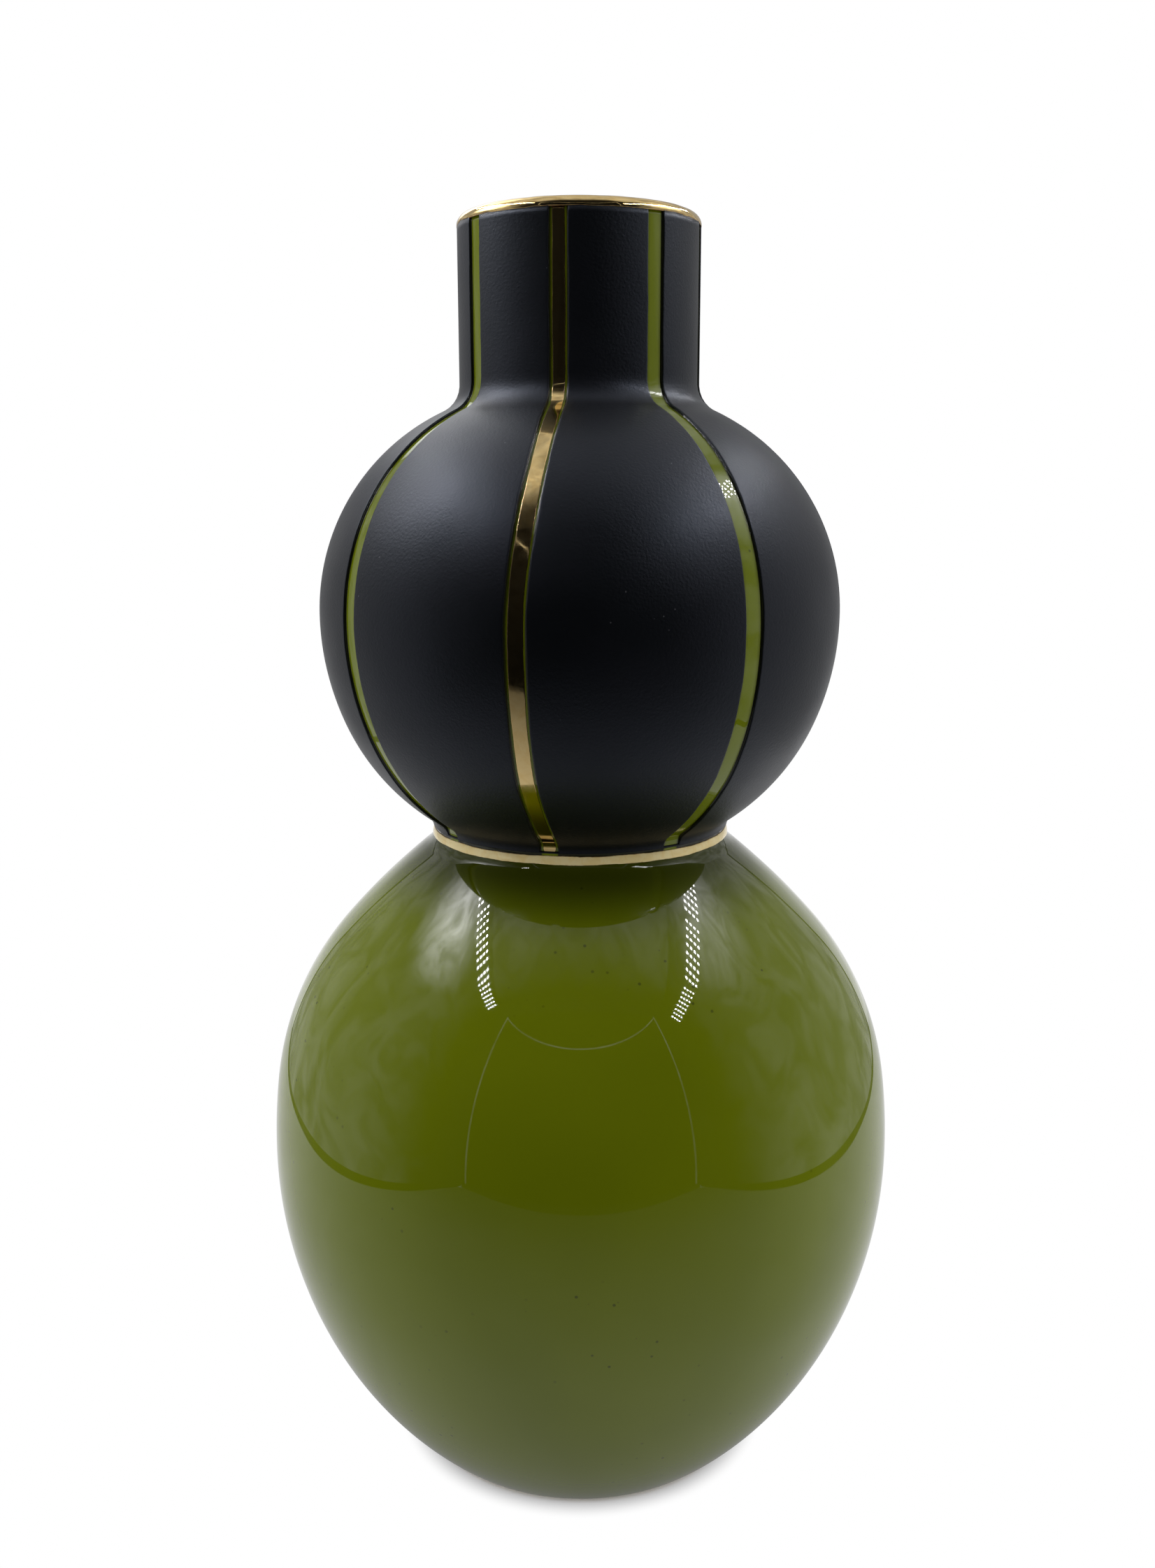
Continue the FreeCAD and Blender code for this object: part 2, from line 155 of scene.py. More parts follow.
@dataclass(frozen=True)
class Outline:
    """Named sizes of the green surface, from the foot to the lip."""

    vase_height: float = 315.0
    foot_radius: float = 43.7
    belly_radius: float = 80.8
    belly_height: float = 82.4
    waist_radius: float = 37.55
    waist_height: float = 166.0
    waist_hollow: float = 5.0
    ball_radius: float = 64.55
    ball_height: float = 220.5
    neck_radius: float = 29.05
    neck_root_hollow: float = 7.4
    rim_middle: float = 27.15
    belly_shares: tuple[tuple[float, float], ...] = ((0.0284, 0.2275), (0.4435, 0.6987))
    ball_under_shares: tuple[tuple[float, float], ...] = ((0.2064, 0.4917),)
    ball_over_shares: tuple[tuple[float, float], ...] = ((0.2736, 0.5552),)
    neck_root_share: float = 0.587

    @property
    def neck_start(self) -> float:
        """Height where the straight neck begins."""
        return self.ball_height + self.neck_root_share * (self.vase_height - self.ball_height)

    def ring_to_hollow(
        self, ring: tuple[float, float], hollow: Bow, shares: tuple[tuple[float, float], ...]
    ) -> list[Bow]:
        """Arcs from a widest ring, where the wall is upright, to the hollow it leads to.

        Args:
            ring: radius and height of the widest ring.
            hollow: arc of the hollow.
            shares: where each arc ends, of the way in and of the way along.

        Returns:
            The arcs, from the ring on.
        """
        way_in = hollow.across + hollow.radius - ring[0]
        way_along = hollow.height - ring[1]
        place = ring
        turn = 0.0
        bows = []
        for share_in, share_along in shares:
            end = (ring[0] + share_in * way_in, ring[1] + share_along * way_along)
            bows.append(bow_through(place, turn, end))
            place = end
            turn = bows[-1].turn_2
        return bows + [bow_into(place, turn, hollow)]

    def bows(self) -> list[Bow]:
        """All arcs, upwards from the table to the straight neck.

        Returns:
            The arcs.
        """
        belly = (self.belly_radius, self.belly_height)
        ball = (self.ball_radius, self.ball_height)
        waist_centre = (self.waist_radius + self.waist_hollow, self.waist_height)
        root_centre = (self.neck_radius + self.neck_root_hollow, self.neck_start)
        waist = Bow(*waist_centre, -self.waist_hollow, 0.0, 0.0)
        root = Bow(*root_centre, -self.neck_root_hollow, 0.0, 0.0)
        under_belly = [bow_through(belly, 0.0, (self.foot_radius, 0.0)).upwards()]
        over_belly = self.ring_to_hollow(belly, waist, self.belly_shares)
        under_ball = self.ring_to_hollow(ball, waist, self.ball_under_shares)
        under_ball = [bow.upwards() for bow in reversed(under_ball)]
        over_ball = self.ring_to_hollow(ball, root, self.ball_over_shares)
        waist = replace(waist, turn_1=over_belly[-1].turn_2, turn_2=under_ball[0].turn_1)
        root = replace(root, turn_1=over_ball[-1].turn_2)
        return under_belly + over_belly + [waist] + under_ball + over_ball + [root]


@dataclass(frozen=True)
class Rows:
    """Stations along the outline: one entry for each row of a grid."""

    length: np.ndarray
    radius: np.ndarray
    height: np.ndarray
    out: np.ndarray
    up: np.ndarray


class Course:
    """The outline measured along its own length, from the table up."""

    def __init__(self, outline: Outline) -> None:
        """Lay the arcs end to end.

        Args:
            outline: sizes of the vase.
        """
        self.outline = outline
        bows = outline.bows()
        self.across = np.array([bow.across for bow in bows])
        self.height = np.array([bow.height for bow in bows])
        self.radius = np.array([bow.radius for bow in bows])
        self.turn_1 = np.array([bow.turn_1 for bow in bows])
        self.turn_2 = np.array([bow.turn_2 for bow in bows])
        self.lengths = np.array([bow.length() for bow in bows])
        self.starts = np.concatenate([[0.0], np.cumsum(self.lengths)])
        self.neck_from = float(self.starts[-1])

    def rows(self, length: np.ndarray) -> Rows:
        """Stations at given lengths.

        Within an arc the normal turns evenly with the length; past the last arc the neck rises
        straight.

        Args:
            length: lengths along the outline.

        Returns:
            Radius, height and outward normal at each.
        """
        index = np.clip(np.searchsorted(self.starts, length, side="right") - 1, 0, len(self.lengths) - 1)
        share = (length - self.starts[index]) / self.lengths[index]
        turn = self.turn_1[index] + (self.turn_2 - self.turn_1)[index] * share
        radius = self.across[index] + self.radius[index] * np.cos(turn)
        height = self.height[index] + self.radius[index] * np.sin(turn)
        neck = length > self.neck_from
        return Rows(
            length=length,
            radius=np.where(neck, self.outline.neck_radius, radius),
            height=np.where(neck, self.outline.neck_start + length - self.neck_from, height),
            out=np.where(neck, 1.0, np.cos(turn)),
            up=np.where(neck, 0.0, np.sin(turn)),
        )

    def length_at(self, height: float) -> float:
        """Length where the outline passes a height."""
        dense = np.linspace(0.0, self.neck_from + 60.0, 24000)
        return float(np.interp(height, self.rows(dense).height, dense))

    def spaced(self, *stretches: tuple[float, float]) -> np.ndarray:
        """Lengths from stretches that follow each other.

        Args:
            stretches: for each, its end as a length and its spacing; the first gives the start.

        Returns:
            Increasing lengths, evenly spaced within each stretch.
        """
        places = [np.array([stretches[0][0]])]
        start = stretches[0][0]
        for end, pitch in stretches[1:]:
            count = max(1, math.ceil((end - start) / pitch))
            places.append(np.linspace(start, end, count + 1)[1:])
            start = end
        return np.concatenate(places)


def quarter_round(distance: np.ndarray, reach: float) -> np.ndarray:
    """Rise of a rounded edge: a quarter circle from 0 at the edge to 1 at the reach."""
    share = np.clip(distance / reach, 0.0, 1.0)
    return np.sqrt(1.0 - (1.0 - share) ** 2)


def smooth_step(value: np.ndarray, low: float, high: float) -> np.ndarray:
    """Even S-shaped rise from 0 at the low value to 1 at the high one."""
    share = np.clip((value - low) / (high - low), 0.0, 1.0)
    return share * share * (3.0 - 2.0 * share)


def hand_waver(length: np.ndarray, seed: int, size: float) -> np.ndarray:
    """Uneven line cut by hand: four sines of unlike wavelengths and seeded phases.

    Args:
        length: places along the line, in millimetres.
        seed: number that settles the phases.
        size: rough largest swing.

    Returns:
        Offset at each place.
    """
    phases = np.random.default_rng(seed).uniform(0.0, FULL_TURN, 4)
    waves = np.array([31.0, 13.7, 6.1, 3.3])
    weights = np.array([0.45, 0.3, 0.16, 0.09]) * size
    angle = length[..., None] * (FULL_TURN / waves) + phases
    return (np.sin(angle) * weights).sum(axis=-1)


def inner_shares(count: int) -> np.ndarray:
    """Shares that divide a gap evenly, without its two ends."""
    return np.linspace(0.0, 1.0, count + 2)[1:-1]


def all_round(columns: int) -> np.ndarray:
    """Bearings that stand evenly once round the axis."""
    return np.linspace(0.0, FULL_TURN, columns + 1)[:-1]


def swept(radius: np.ndarray | float, height: np.ndarray | float, bearing: np.ndarray) -> np.ndarray:
    """Points at radii and heights, turned to bearings.

    Args:
        radius: distances from the axis.
        height: heights.
        bearing: turns; the three are spread over each other.

    Returns:
        Grid of points: the radius times the bearing's sine, less the radius times its cosine, and
        the height.
    """
    ways = (radius * np.sin(bearing), -radius * np.cos(bearing), height)
    return np.stack(np.broadcast_arrays(*ways), axis=-1)


def wrap(rows: Rows, bearing: np.ndarray, depth: np.ndarray) -> np.ndarray:
    """Points of a coat: each row's station moved in by the depth and turned to the bearing.

    Args:
        rows: stations along the outline, one per row.
        bearing: turn of each grid point.
        depth: depth of each grid point under the green surface.

    Returns:
        Grid of points, in millimetres.
    """
    radius = rows.radius[:, None] - depth * rows.out[:, None]
    height = rows.height[:, None] - depth * rows.up[:, None]
    return swept(radius, height, bearing)


def shell(
    name: str,
    outer: np.ndarray,
    inner: np.ndarray,
    keep: np.ndarray | None = None,
    marks: dict[str, np.ndarray] | None = None,
) -> Thing:
    """Closed wall between two grids that go once round the axis.

    The outer grid's quads face outwards, the inner grid's are the same ones reversed, and each
    edge that only one quad has gets a quad between the two grids.

    Args:
        name: name of the piece.
        outer: rows by columns of points, in millimetres.
        inner: the same grid on the back of the wall.
        keep: which quads exist, rows less one by columns; all if None.
        marks: named numbers for each grid point, for the finish to read.

    Returns:
        The new object, at the origin.
    """
    rows, columns = outer.shape[:2]
    index = np.arange(rows * columns).reshape(rows, columns)
    beside = np.roll(index, -1, axis=1)
    quads = np.stack([index[:-1], beside[:-1], beside[1:], index[1:]], axis=-1)
    quads = quads.reshape(-1, 4) if keep is None else quads[keep]
    count = rows * columns
    edges = quads[:, [0, 1, 1, 2, 2, 3, 3, 0]].reshape(-1, 2)
    forth = edges[:, 0] * count + edges[:, 1]
    back = edges[:, 1] * count + edges[:, 0]
    rim = edges[~np.isin(forth, back)]
    sides = np.stack([rim[:, 1], rim[:, 0], rim[:, 0] + count, rim[:, 1] + count], axis=-1)
    faces = np.concatenate([quads, quads[:, ::-1] + count, sides])
    points = np.concatenate([outer.reshape(-1, 3), inner.reshape(-1, 3)])
    used, packed = np.unique(faces, return_inverse=True)
    faces = packed.reshape(-1, 4)
    mesh = bpy.data.meshes.new(name)
    mesh.from_pydata((points[used] * METRES).tolist(), [], faces.tolist())
    mesh.polygons.foreach_set("use_smooth", np.ones(len(faces), dtype=bool))
    for mark, values in (marks or {}).items():
        both = np.concatenate([values.reshape(-1), values.reshape(-1)])
        layer = mesh.attributes.new(mark, "FLOAT", "POINT")
        layer.data.foreach_set("value", both[used].astype(np.float32))
    mesh.validate()
    piece = bpy.data.objects.new(name, mesh)
    bpy.context.scene.collection.objects.link(piece)
    return piece


class Nodes:
    """Small helper that lays out the nodes of one finish."""

    def __init__(self, name: str) -> None:
        """Start an empty finish with its shader.

        Args:
            name: name of the finish.
        """
        self.material = bpy.data.materials.new(name)
        self.material.use_nodes = True
        self.tree = self.material.node_tree
        self.tree.nodes.clear()
        self.output = self.add("OutputMaterial")
        self.shader = self.surface()
        self.place = self.add("TexCoord").outputs["Object"]

    def surface(self) -> bpy.types.Node:
        """Principled shader, led to the output.

        Returns:
            The shader.
        """
        shader = self.add("BsdfPrincipled")
        self.join(shader.outputs["BSDF"], self.output.inputs["Surface"])
        return shader

    def join(self, source: Socket, target: Socket) -> None:
        """Link two sockets."""
        self.tree.links.new(source, target)

    def put(self, value: float | tuple[float, ...] | Socket, target: Socket) -> None:
        """Link a socket to an input, or set a constant there.

        Args:
            value: what the input gets.
            target: the input.
        """
        if isinstance(value, Socket):
            self.join(value, target)
        else:
            target.default_value = value

    def feed(self, node: bpy.types.Node, **inputs: float | tuple[float, ...] | Socket) -> None:
        """Link or set inputs of a node; an underscore in a name stands for a space."""
        for name, value in inputs.items():
            self.put(value, node.inputs[name.replace("_", " ")])

    def add(self, kind: str, **inputs: float | tuple[float, ...] | Socket) -> bpy.types.Node:
        """New node.

        Args:
            kind: its type, without the word ShaderNode.
            inputs: what its inputs get.

        Returns:
            The node.
        """
        node = self.tree.nodes.new(f"ShaderNode{kind}")
        self.feed(node, **inputs)
        return node

    def math(self, operation: str, *terms: float | Socket) -> Socket:
        """Number worked out from others.

        Args:
            operation: what is done with them.
            terms: the numbers, in the order that the operation takes them.

        Returns:
            The result's socket.
        """
        node = self.add("Math")
        node.operation = operation
        for term, target in zip(terms, node.inputs):
            self.put(term, target)
        return node.outputs["Value"]

    def measure(self, operation: str, *vectors: Place) -> Socket:
        """Number worked out from a point's place, in metres.

        Args:
            operation: what is done with the place.
            vectors: what else the operation takes.

        Returns:
            The result's socket.
        """
        node = self.add("VectorMath")
        node.operation = operation
        for vector, target in zip((self.place, *vectors), node.inputs):
            self.put(vector, target)
        return node.outputs["Value"]

    def along(self, direction: Place) -> Socket:
        """How far a point lies along a direction, in metres."""
        return self.measure("DOT_PRODUCT", direction)

    def noise(
        self, scale: float, detail: float = 2.0, roughness: float = 0.5, distortion: float = 0.0
    ) -> Socket:
        """Cloudy noise on the piece's own coordinates.

        Args:
            scale: repeats per metre.
            detail: octaves.
            roughness: weight of the finer octaves.
            distortion: how much the noise bends itself.

        Returns:
            The noise's value socket.
        """
        shape = {"Scale": scale, "Detail": detail, "Roughness": roughness, "Distortion": distortion}
        return self.add("TexNoise", Vector=self.place, **shape).outputs["Fac"]

    def specks(self, scale: float, share: float, soft: float) -> Socket:
        """Scattered round specks.

        Args:
            scale: cells per metre; one speck may sit in each.
            share: radius of a speck, of its cell.
            soft: width of its edge, of its cell.

        Returns:
            1 in a speck and 0 elsewhere.
        """
        cells = self.add("TexVoronoi", Scale=scale, Vector=self.place)
        return self.stretch(cells.outputs["Distance"], share + soft, share, 0.0, 1.0)

    def stretch(self, value: Socket, low: float, high: float, to_low: float, to_high: float) -> Socket:
        """Map one range to another along an S-shaped rise, held at its ends.

        Args:
            value: socket to map.
            low: value that becomes to_low.
            high: value that becomes to_high.
            to_low: result at the low end.
            to_high: result at the high end.

        Returns:
            The mapped socket.
        """
        node = self.add("MapRange", Value=value, From_Min=low, From_Max=high, To_Min=to_low, To_Max=to_high)
        node.interpolation_type = "SMOOTHSTEP"
        return node.outputs["Result"]

    def patches(self, noise: Socket, start: float, full: float, most: float = 1.0) -> Socket:
        """Patches of a noise: 0 up to where they start, and the most from where they are full."""
        return self.stretch(noise, start, full, 0.0, most)

    def sum(self, one: Socket, other: Socket, weight: float) -> Socket:
        """One socket plus another times a weight."""
        return self.math("MULTIPLY_ADD", other, weight, one)

    def product(self, one: Socket, other: Socket) -> Socket:
        """One socket times another."""
        return self.math("MULTIPLY", one, other)

    def blend(self, share: Socket, at_zero: Colour | Socket, at_one: Colour | Socket) -> Socket:
        """Colour between two colours.

        Args:
            share: 0 for the first colour and 1 for the second.
            at_zero: first colour, or a socket that has it.
            at_one: second colour, or a socket that has it.

        Returns:
            The blended colour socket.
        """
        node = self.add("Mix", Factor=share)
        node.data_type = "RGBA"
        for colour, target in ((at_zero, node.inputs[6]), (at_one, node.inputs[7])):
            self.put((*colour, 1.0) if isinstance(colour, tuple) else colour, target)
        return node.outputs[2]

    def mark(self, name: str) -> Socket:
        """A number that the mesh carries at each point.

        Args:
            name: name of the number.

        Returns:
            Its socket.
        """
        node = self.add("Attribute")
        node.attribute_name = name
        return node.outputs["Fac"]

    def relief(self, height: Socket, size: float, below: Socket | None = None) -> Socket:
        """Bump from a height.

        Args:
            height: socket from 0 to 1.
            size: what 1 stands for, in millimetres.
            below: normal of a coarser relief that this one lies on.

        Returns:
            The normal socket.
        """
        coarser = {} if below is None else {"Normal": below}
        bump = self.add("Bump", Strength=1.0, Distance=size * METRES, Height=height, **coarser)
        return bump.outputs["Normal"]

    def finish(self, **inputs: float | tuple[float, ...] | Socket) -> Material:
        """Feed the shader and hand over the material.

        Args:
            inputs: what the shader's inputs get.

        Returns:
            The material.
        """
        self.feed(self.shader, **inputs)
        return self.material


def linear(red: float, green: float, blue: float) -> Colour:
    """Linear colour from display values between 0 and 255."""
    shares = [value / 255.0 for value in (red, green, blue)]
    return tuple(
        share / 12.92 if share <= 0.04045 else ((share + 0.055) / 1.055) ** 2.4 for share in shares
    )


@dataclass(frozen=True)
class GreenGlaze:
    """Thick gloss glaze: an olive body under a clear, almost level surface.

    It has painted shade over a stretch of height just under the waist, and no higher.
    """

    name: str = "green_glaze"
    deep: Colour = linear(99, 110, 5)
    pale: Colour = linear(107, 118, 8)
    fleck: Colour = linear(52, 58, 6)
    painted_shade: Colour = linear(20, 23, 5)
    shade_from: float = 0.148
    shade_full: float = 0.162
    shade_share: float = 0.75
    waist: float = 0.166
    refraction: float = 1.5

    def colour(self, nodes: Nodes) -> Socket:
        """Soft clouds and rare flecks, with painted shade just under the waist.

        Args:
            nodes: the finish that is laid out.

        Returns:
            The colour's socket.
        """
        height = nodes.along(UP)
        # Painted shade: a darker share over a stretch of height just under the waist, cut off at the waist.
        below = nodes.patches(height, self.shade_from, self.shade_full, self.shade_share)
        pool = nodes.product(below, nodes.stretch(height, self.waist - METRES, self.waist, 1.0, 0.0))
        clouds = nodes.noise(11.0, detail=3.0, roughness=0.55, distortion=0.4)
        mottled = nodes.sum(nodes.patches(clouds, 0.3, 0.7), nodes.noise(900.0), 0.12)
        body = nodes.blend(mottled, self.deep, self.pale)
        where = nodes.patches(nodes.noise(23.0), 0.5, 0.62, 0.7)
        flecks = nodes.product(nodes.specks(260.0, 0.07, 0.05), where)
        return nodes.blend(pool, nodes.blend(flecks, body, self.fleck), self.painted_shade)

    def build(self) -> Material:
        """The colour under a surface with a faint swell and a fine peel.

        Returns:
            The material.
        """
        nodes = Nodes(self.name)
        swell = nodes.relief(nodes.noise(16.0, detail=1.0), 0.09)
        peel = nodes.relief(nodes.noise(210.0, detail=1.5), 0.0016, swell)
        gloss = nodes.stretch(nodes.noise(70.0), 0.35, 0.75, 0.015, 0.04)
        return nodes.finish(
            Base_Color=self.colour(nodes), Normal=peel, Roughness=gloss, IOR=self.refraction
        )


@dataclass(frozen=True)
class GroovedGreenGlaze(GreenGlaze):
    """The same glaze in the grooves, with painted shade along the walls of each groove."""

    name: str = "green_glaze_grooved"
    groove_shade: Colour = linear(26, 28, 8)

    def colour(self, nodes: Nodes) -> Socket:
        """The green with a dark margin of painted shade along each wall of a groove."""
        return nodes.blend(nodes.mark("from_black"), self.groove_shade, super().colour(nodes))


@dataclass(frozen=True)
class MattBlack:
    """Dry matt black with a blue cast, a fine tooth and a few grains of dust."""

    name: str = "matt_black"
    body: Colour = linear(6, 7, 8)
    worn: Colour = linear(10, 10, 13)
    dust: Colour = linear(88, 88, 92)
    sheen: tuple[float, float, float, float] = (0.7, 0.78, 1.0, 1.0)
    smoothest: float = 0.39
    roughest: float = 0.46
    refraction: float = 1.5

    def build(self) -> Material:
        """Fine tooth in the relief, rubbed patches and dust in the colour.

        Returns:
            The material.
        """
        nodes = Nodes(self.name)
        rubbed = nodes.patches(nodes.noise(24.0, detail=4.0, roughness=0.6), 0.42, 0.68)
        body = nodes.blend(rubbed, self.body, self.worn)
        where = nodes.patches(nodes.noise(60.0), 0.6, 0.68, 0.8)
        grains = nodes.product(nodes.specks(420.0, 0.05, 0.03), where)
        tooth = nodes.relief(nodes.noise(1500.0, detail=3.0, roughness=0.6), 0.06)
        pits = nodes.relief(nodes.specks(700.0, 0.12, 0.1), 0.01, tooth)
        return nodes.finish(
            Base_Color=nodes.blend(grains, body, self.dust),
            Normal=nodes.relief(nodes.noise(240.0), 0.02, pits),
            Roughness=nodes.stretch(nodes.noise(38.0, detail=3.0), 0.3, 0.7, self.smoothest, self.roughest),
            IOR=self.refraction,
            Specular_Tint=self.sheen,
        )


@dataclass(frozen=True)
class GoldLustre:
    """Fired gold lustre: a bright film that turns brown where it thins at its edges."""

    name: str = "gold_lustre"
    gold: Colour = linear(232, 205, 146)
    thick: Colour = linear(226, 195, 132)
    thin: Colour = linear(138, 84, 42)
    metal: float = 1.0
    smoothest: float = 0.04
    roughest: float = 0.11

    def build(self) -> Material:
        """Brush marks in colour and relief, and a brown film close to the edge.

        Returns:
            The material.
        """
        nodes = Nodes(self.name)
        strokes = nodes.noise(330.0, detail=3.0, roughness=0.6, distortion=0.8)
        film = nodes.blend(nodes.patches(strokes, 0.35, 0.7), self.gold, self.thick)
        ragged = nodes.sum(nodes.mark("from_edge"), nodes.noise(1400.0), 0.25)
        ripples = nodes.relief(nodes.noise(150.0, detail=1.5, distortion=0.5), 0.012)
        return nodes.finish(
            Base_Color=nodes.blend(nodes.patches(ragged, 0.26, 0.12, 0.75), film, self.thin),
            Normal=nodes.relief(nodes.noise(900.0), 0.0012, ripples),
            Roughness=nodes.stretch(nodes.noise(500.0), 0.3, 0.7, self.smoothest, self.roughest),
            Metallic=self.metal,
        )


@dataclass(frozen=True)
class BareClay:
    """Unglazed stoneware where the foot was wiped clean, and the slip of the luted joints."""

    name: str = "stoneware_clay"
    body: Colour = linear(206, 196, 178)
    iron: Colour = linear(128, 98, 66)
    toasted: Colour = linear(186, 163, 131)

    def build(self) -> Material:
        """Toasted patches and iron specks over a sandy, dry surface.

        Returns:
            The material.
        """
        nodes = Nodes(self.name)
        toasted = nodes.patches(nodes.noise(35.0, detail=4.0, roughness=0.6), 0.4, 0.7)
        body = nodes.blend(toasted, self.body, self.toasted)
        where = nodes.patches(nodes.noise(160.0), 0.5, 0.6, 0.9)
        specks = nodes.product(nodes.specks(900.0, 0.16, 0.08), where)
        sand = nodes.relief(nodes.noise(2400.0, detail=4.0, roughness=0.7), 0.06)
        return nodes.finish(
            Base_Color=nodes.blend(specks, body, self.iron),
            Normal=nodes.relief(nodes.noise(180.0), 0.05, sand),
            Roughness=nodes.stretch(nodes.noise(600.0), 0.3, 0.7, 0.78, 0.92),
        )


FINISHES = (
    BareClay(),
    BareClay("slip", linear(214, 206, 190), linear(150, 124, 92), linear(199, 184, 158)),
    GreenGlaze(),
    GroovedGreenGlaze(),
    MattBlack(),
    GoldLustre(),
    # Rougher, less metallic gold for the waist band, painted lighter than the gold lustre to make up for
    # the ball's shade over the waist.
    GoldLustre(
        "waist_gold_painted_light", linear(255, 236, 178), linear(250, 224, 156), metal=0.16, smoothest=0.07, roughest=0.2
    ),
)


@dataclass
class Coat:
    """A part of the vase that is dressed: the outline it follows, and the finishes by their names."""

    course: Course
    materials: dict[str, Material]

    def dress(self, piece: Thing, slot: str, *nodes: str, finish: str | None = None) -> Thing:
        """Give a piece its finish and its body, and hide the solids it stands for.

        Args:
            piece: the new object.
            slot: name of the finish's slot.
            nodes: the solids that it replaces.
            finish: name of the finish, where it isn't the slot's own.

        Returns:
            The same object.
        """
        piece.data.materials.append(self.materials[finish or slot])
        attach(piece, BODY)
        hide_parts(*nodes)
        return piece

    def dress_solid(self, node: str, slot: str) -> None:
        """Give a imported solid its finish.

        Args:
            node: name of the solid.
            slot: name of the finish's slot.
        """
        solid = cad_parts[node]
        solid.data.materials.clear()
        solid.data.materials.append(self.materials[slot])


@dataclass(frozen=True)
class StripeSizes:
    """Sizes of the eight stripes and of the grooves they lie in."""

    count: int = 8
    first_gold: float = math.radians(-11.0)
    slot_half_at_neck: float = 2.14
    slot_half_at_ball: float = 2.43
    wall_run: float = 0.16
    groove_depth: float = 0.34
    gold_half_at_neck: float = 1.5
    gold_half_at_ball: float = 1.8
    end_level: float = 167.4
    ramp_length: float = 2.6
    ramp_lead: float = 0.5
    wander: tuple[tuple[float, float, float], ...] = (
        (1.7, -1.4, 0.0),
        (2.5, 2.1, 1.0),
        (0.6, 0.8, 0.3),
        (-0.5, 0.4, 0.2),
        (0.8, -0.6, 0.0),
        (-0.4, 0.7, 0.1),
        (0.5, -0.8, 0.0),
        (0.0, 1.6, 0.6),
    )
    wander_end: float = 188.0

    def bearings(self, rows: Rows, outline: Outline) -> np.ndarray:
        """Bearing of each stripe at each row.

        The stripes stand evenly round the vase, but they were cut by hand and stray by a degree
        or two. The table gives that, in degrees, at the neck, at the ball and at the lower end.

        Args:
            rows: stations along the outline.
            outline: sizes of the vase.

        Returns:
            Rows by stripes, from the first gold one on.
        """
        even = self.first_gold + np.arange(self.count) * (FULL_TURN / self.count)
        neck, ball, end = np.radians(np.array(self.wander).T)
        up = smooth_step(rows.height, outline.ball_height, outline.neck_start)[:, None]
        down = smooth_step(-rows.height, -self.wander_end, -self.end_level)[:, None]
        return even + neck * up + ball * (1.0 - up) * (1.0 - down) + end * down

    def between(self, rows: Rows, at_neck: float, at_ball: float, outline: Outline) -> np.ndarray:
        """Width that grows evenly with the radius, from the neck's to the ball's."""
        share = (rows.radius - outline.neck_radius) / (outline.ball_radius - outline.neck_radius)
        return at_neck + (at_ball - at_neck) * np.clip(share, 0.0, 1.0)

    def slot_half(self, rows: Rows, outline: Outline) -> np.ndarray:
        """Half of a groove's width at each row."""
        return self.between(rows, self.slot_half_at_neck, self.slot_half_at_ball, outline)

    def gold_half(self, rows: Rows, outline: Outline) -> np.ndarray:
        """Half of a gold stripe's width at each row."""
        return self.between(rows, self.gold_half_at_neck, self.gold_half_at_ball, outline)


def stripe_columns(
    rows: Rows, bearings: np.ndarray, offsets: np.ndarray, gap_shares: np.ndarray
) -> tuple[np.ndarray, np.ndarray]:
    """Columns of a grid that follow the stripes.

    Near a stripe each column keeps its distance from the stripe's middle line, so its bearing is
    the stripe's plus the arcsine of that distance over the radius. The columns of the gap divide
    the turn between one stripe's last column and the next one's first.

    Args:
        rows: stations along the outline.
        bearings: rows by stripes of bearings of the middle lines.
        offsets: rows by columns by stripes of distances from the middle line.
        gap_shares: shares of the gap at which its columns lie.

    Returns:
        The bearing of each grid point, and its distance from the nearest middle line.
    """
    near = bearings[:, None, :] + np.arcsin(np.clip(offsets / rows.radius[:, None, None], -1.0, 1.0))
    turn_on = np.zeros(bearings.shape[1])
    turn_on[-1] = FULL_TURN
    first = np.roll(near[:, :1, :], -1, axis=2) + turn_on
    last = near[:, -1:, :]
    gap = last + (first - last) * gap_shares[None, :, None]
    columns = np.concatenate([near, gap], axis=1).transpose(0, 2, 1)
    middle = bearings[:, :, None]
    beyond = (np.roll(bearings, -1, axis=1) + turn_on)[:, :, None]
    nearest = np.where(np.abs(columns - middle) < np.abs(columns - beyond), middle, beyond)
    away = rows.radius[:, None, None] * np.abs(np.sin(columns - nearest))
    shape = (len(rows.radius), -1)
    return columns.reshape(shape), away.reshape(shape)


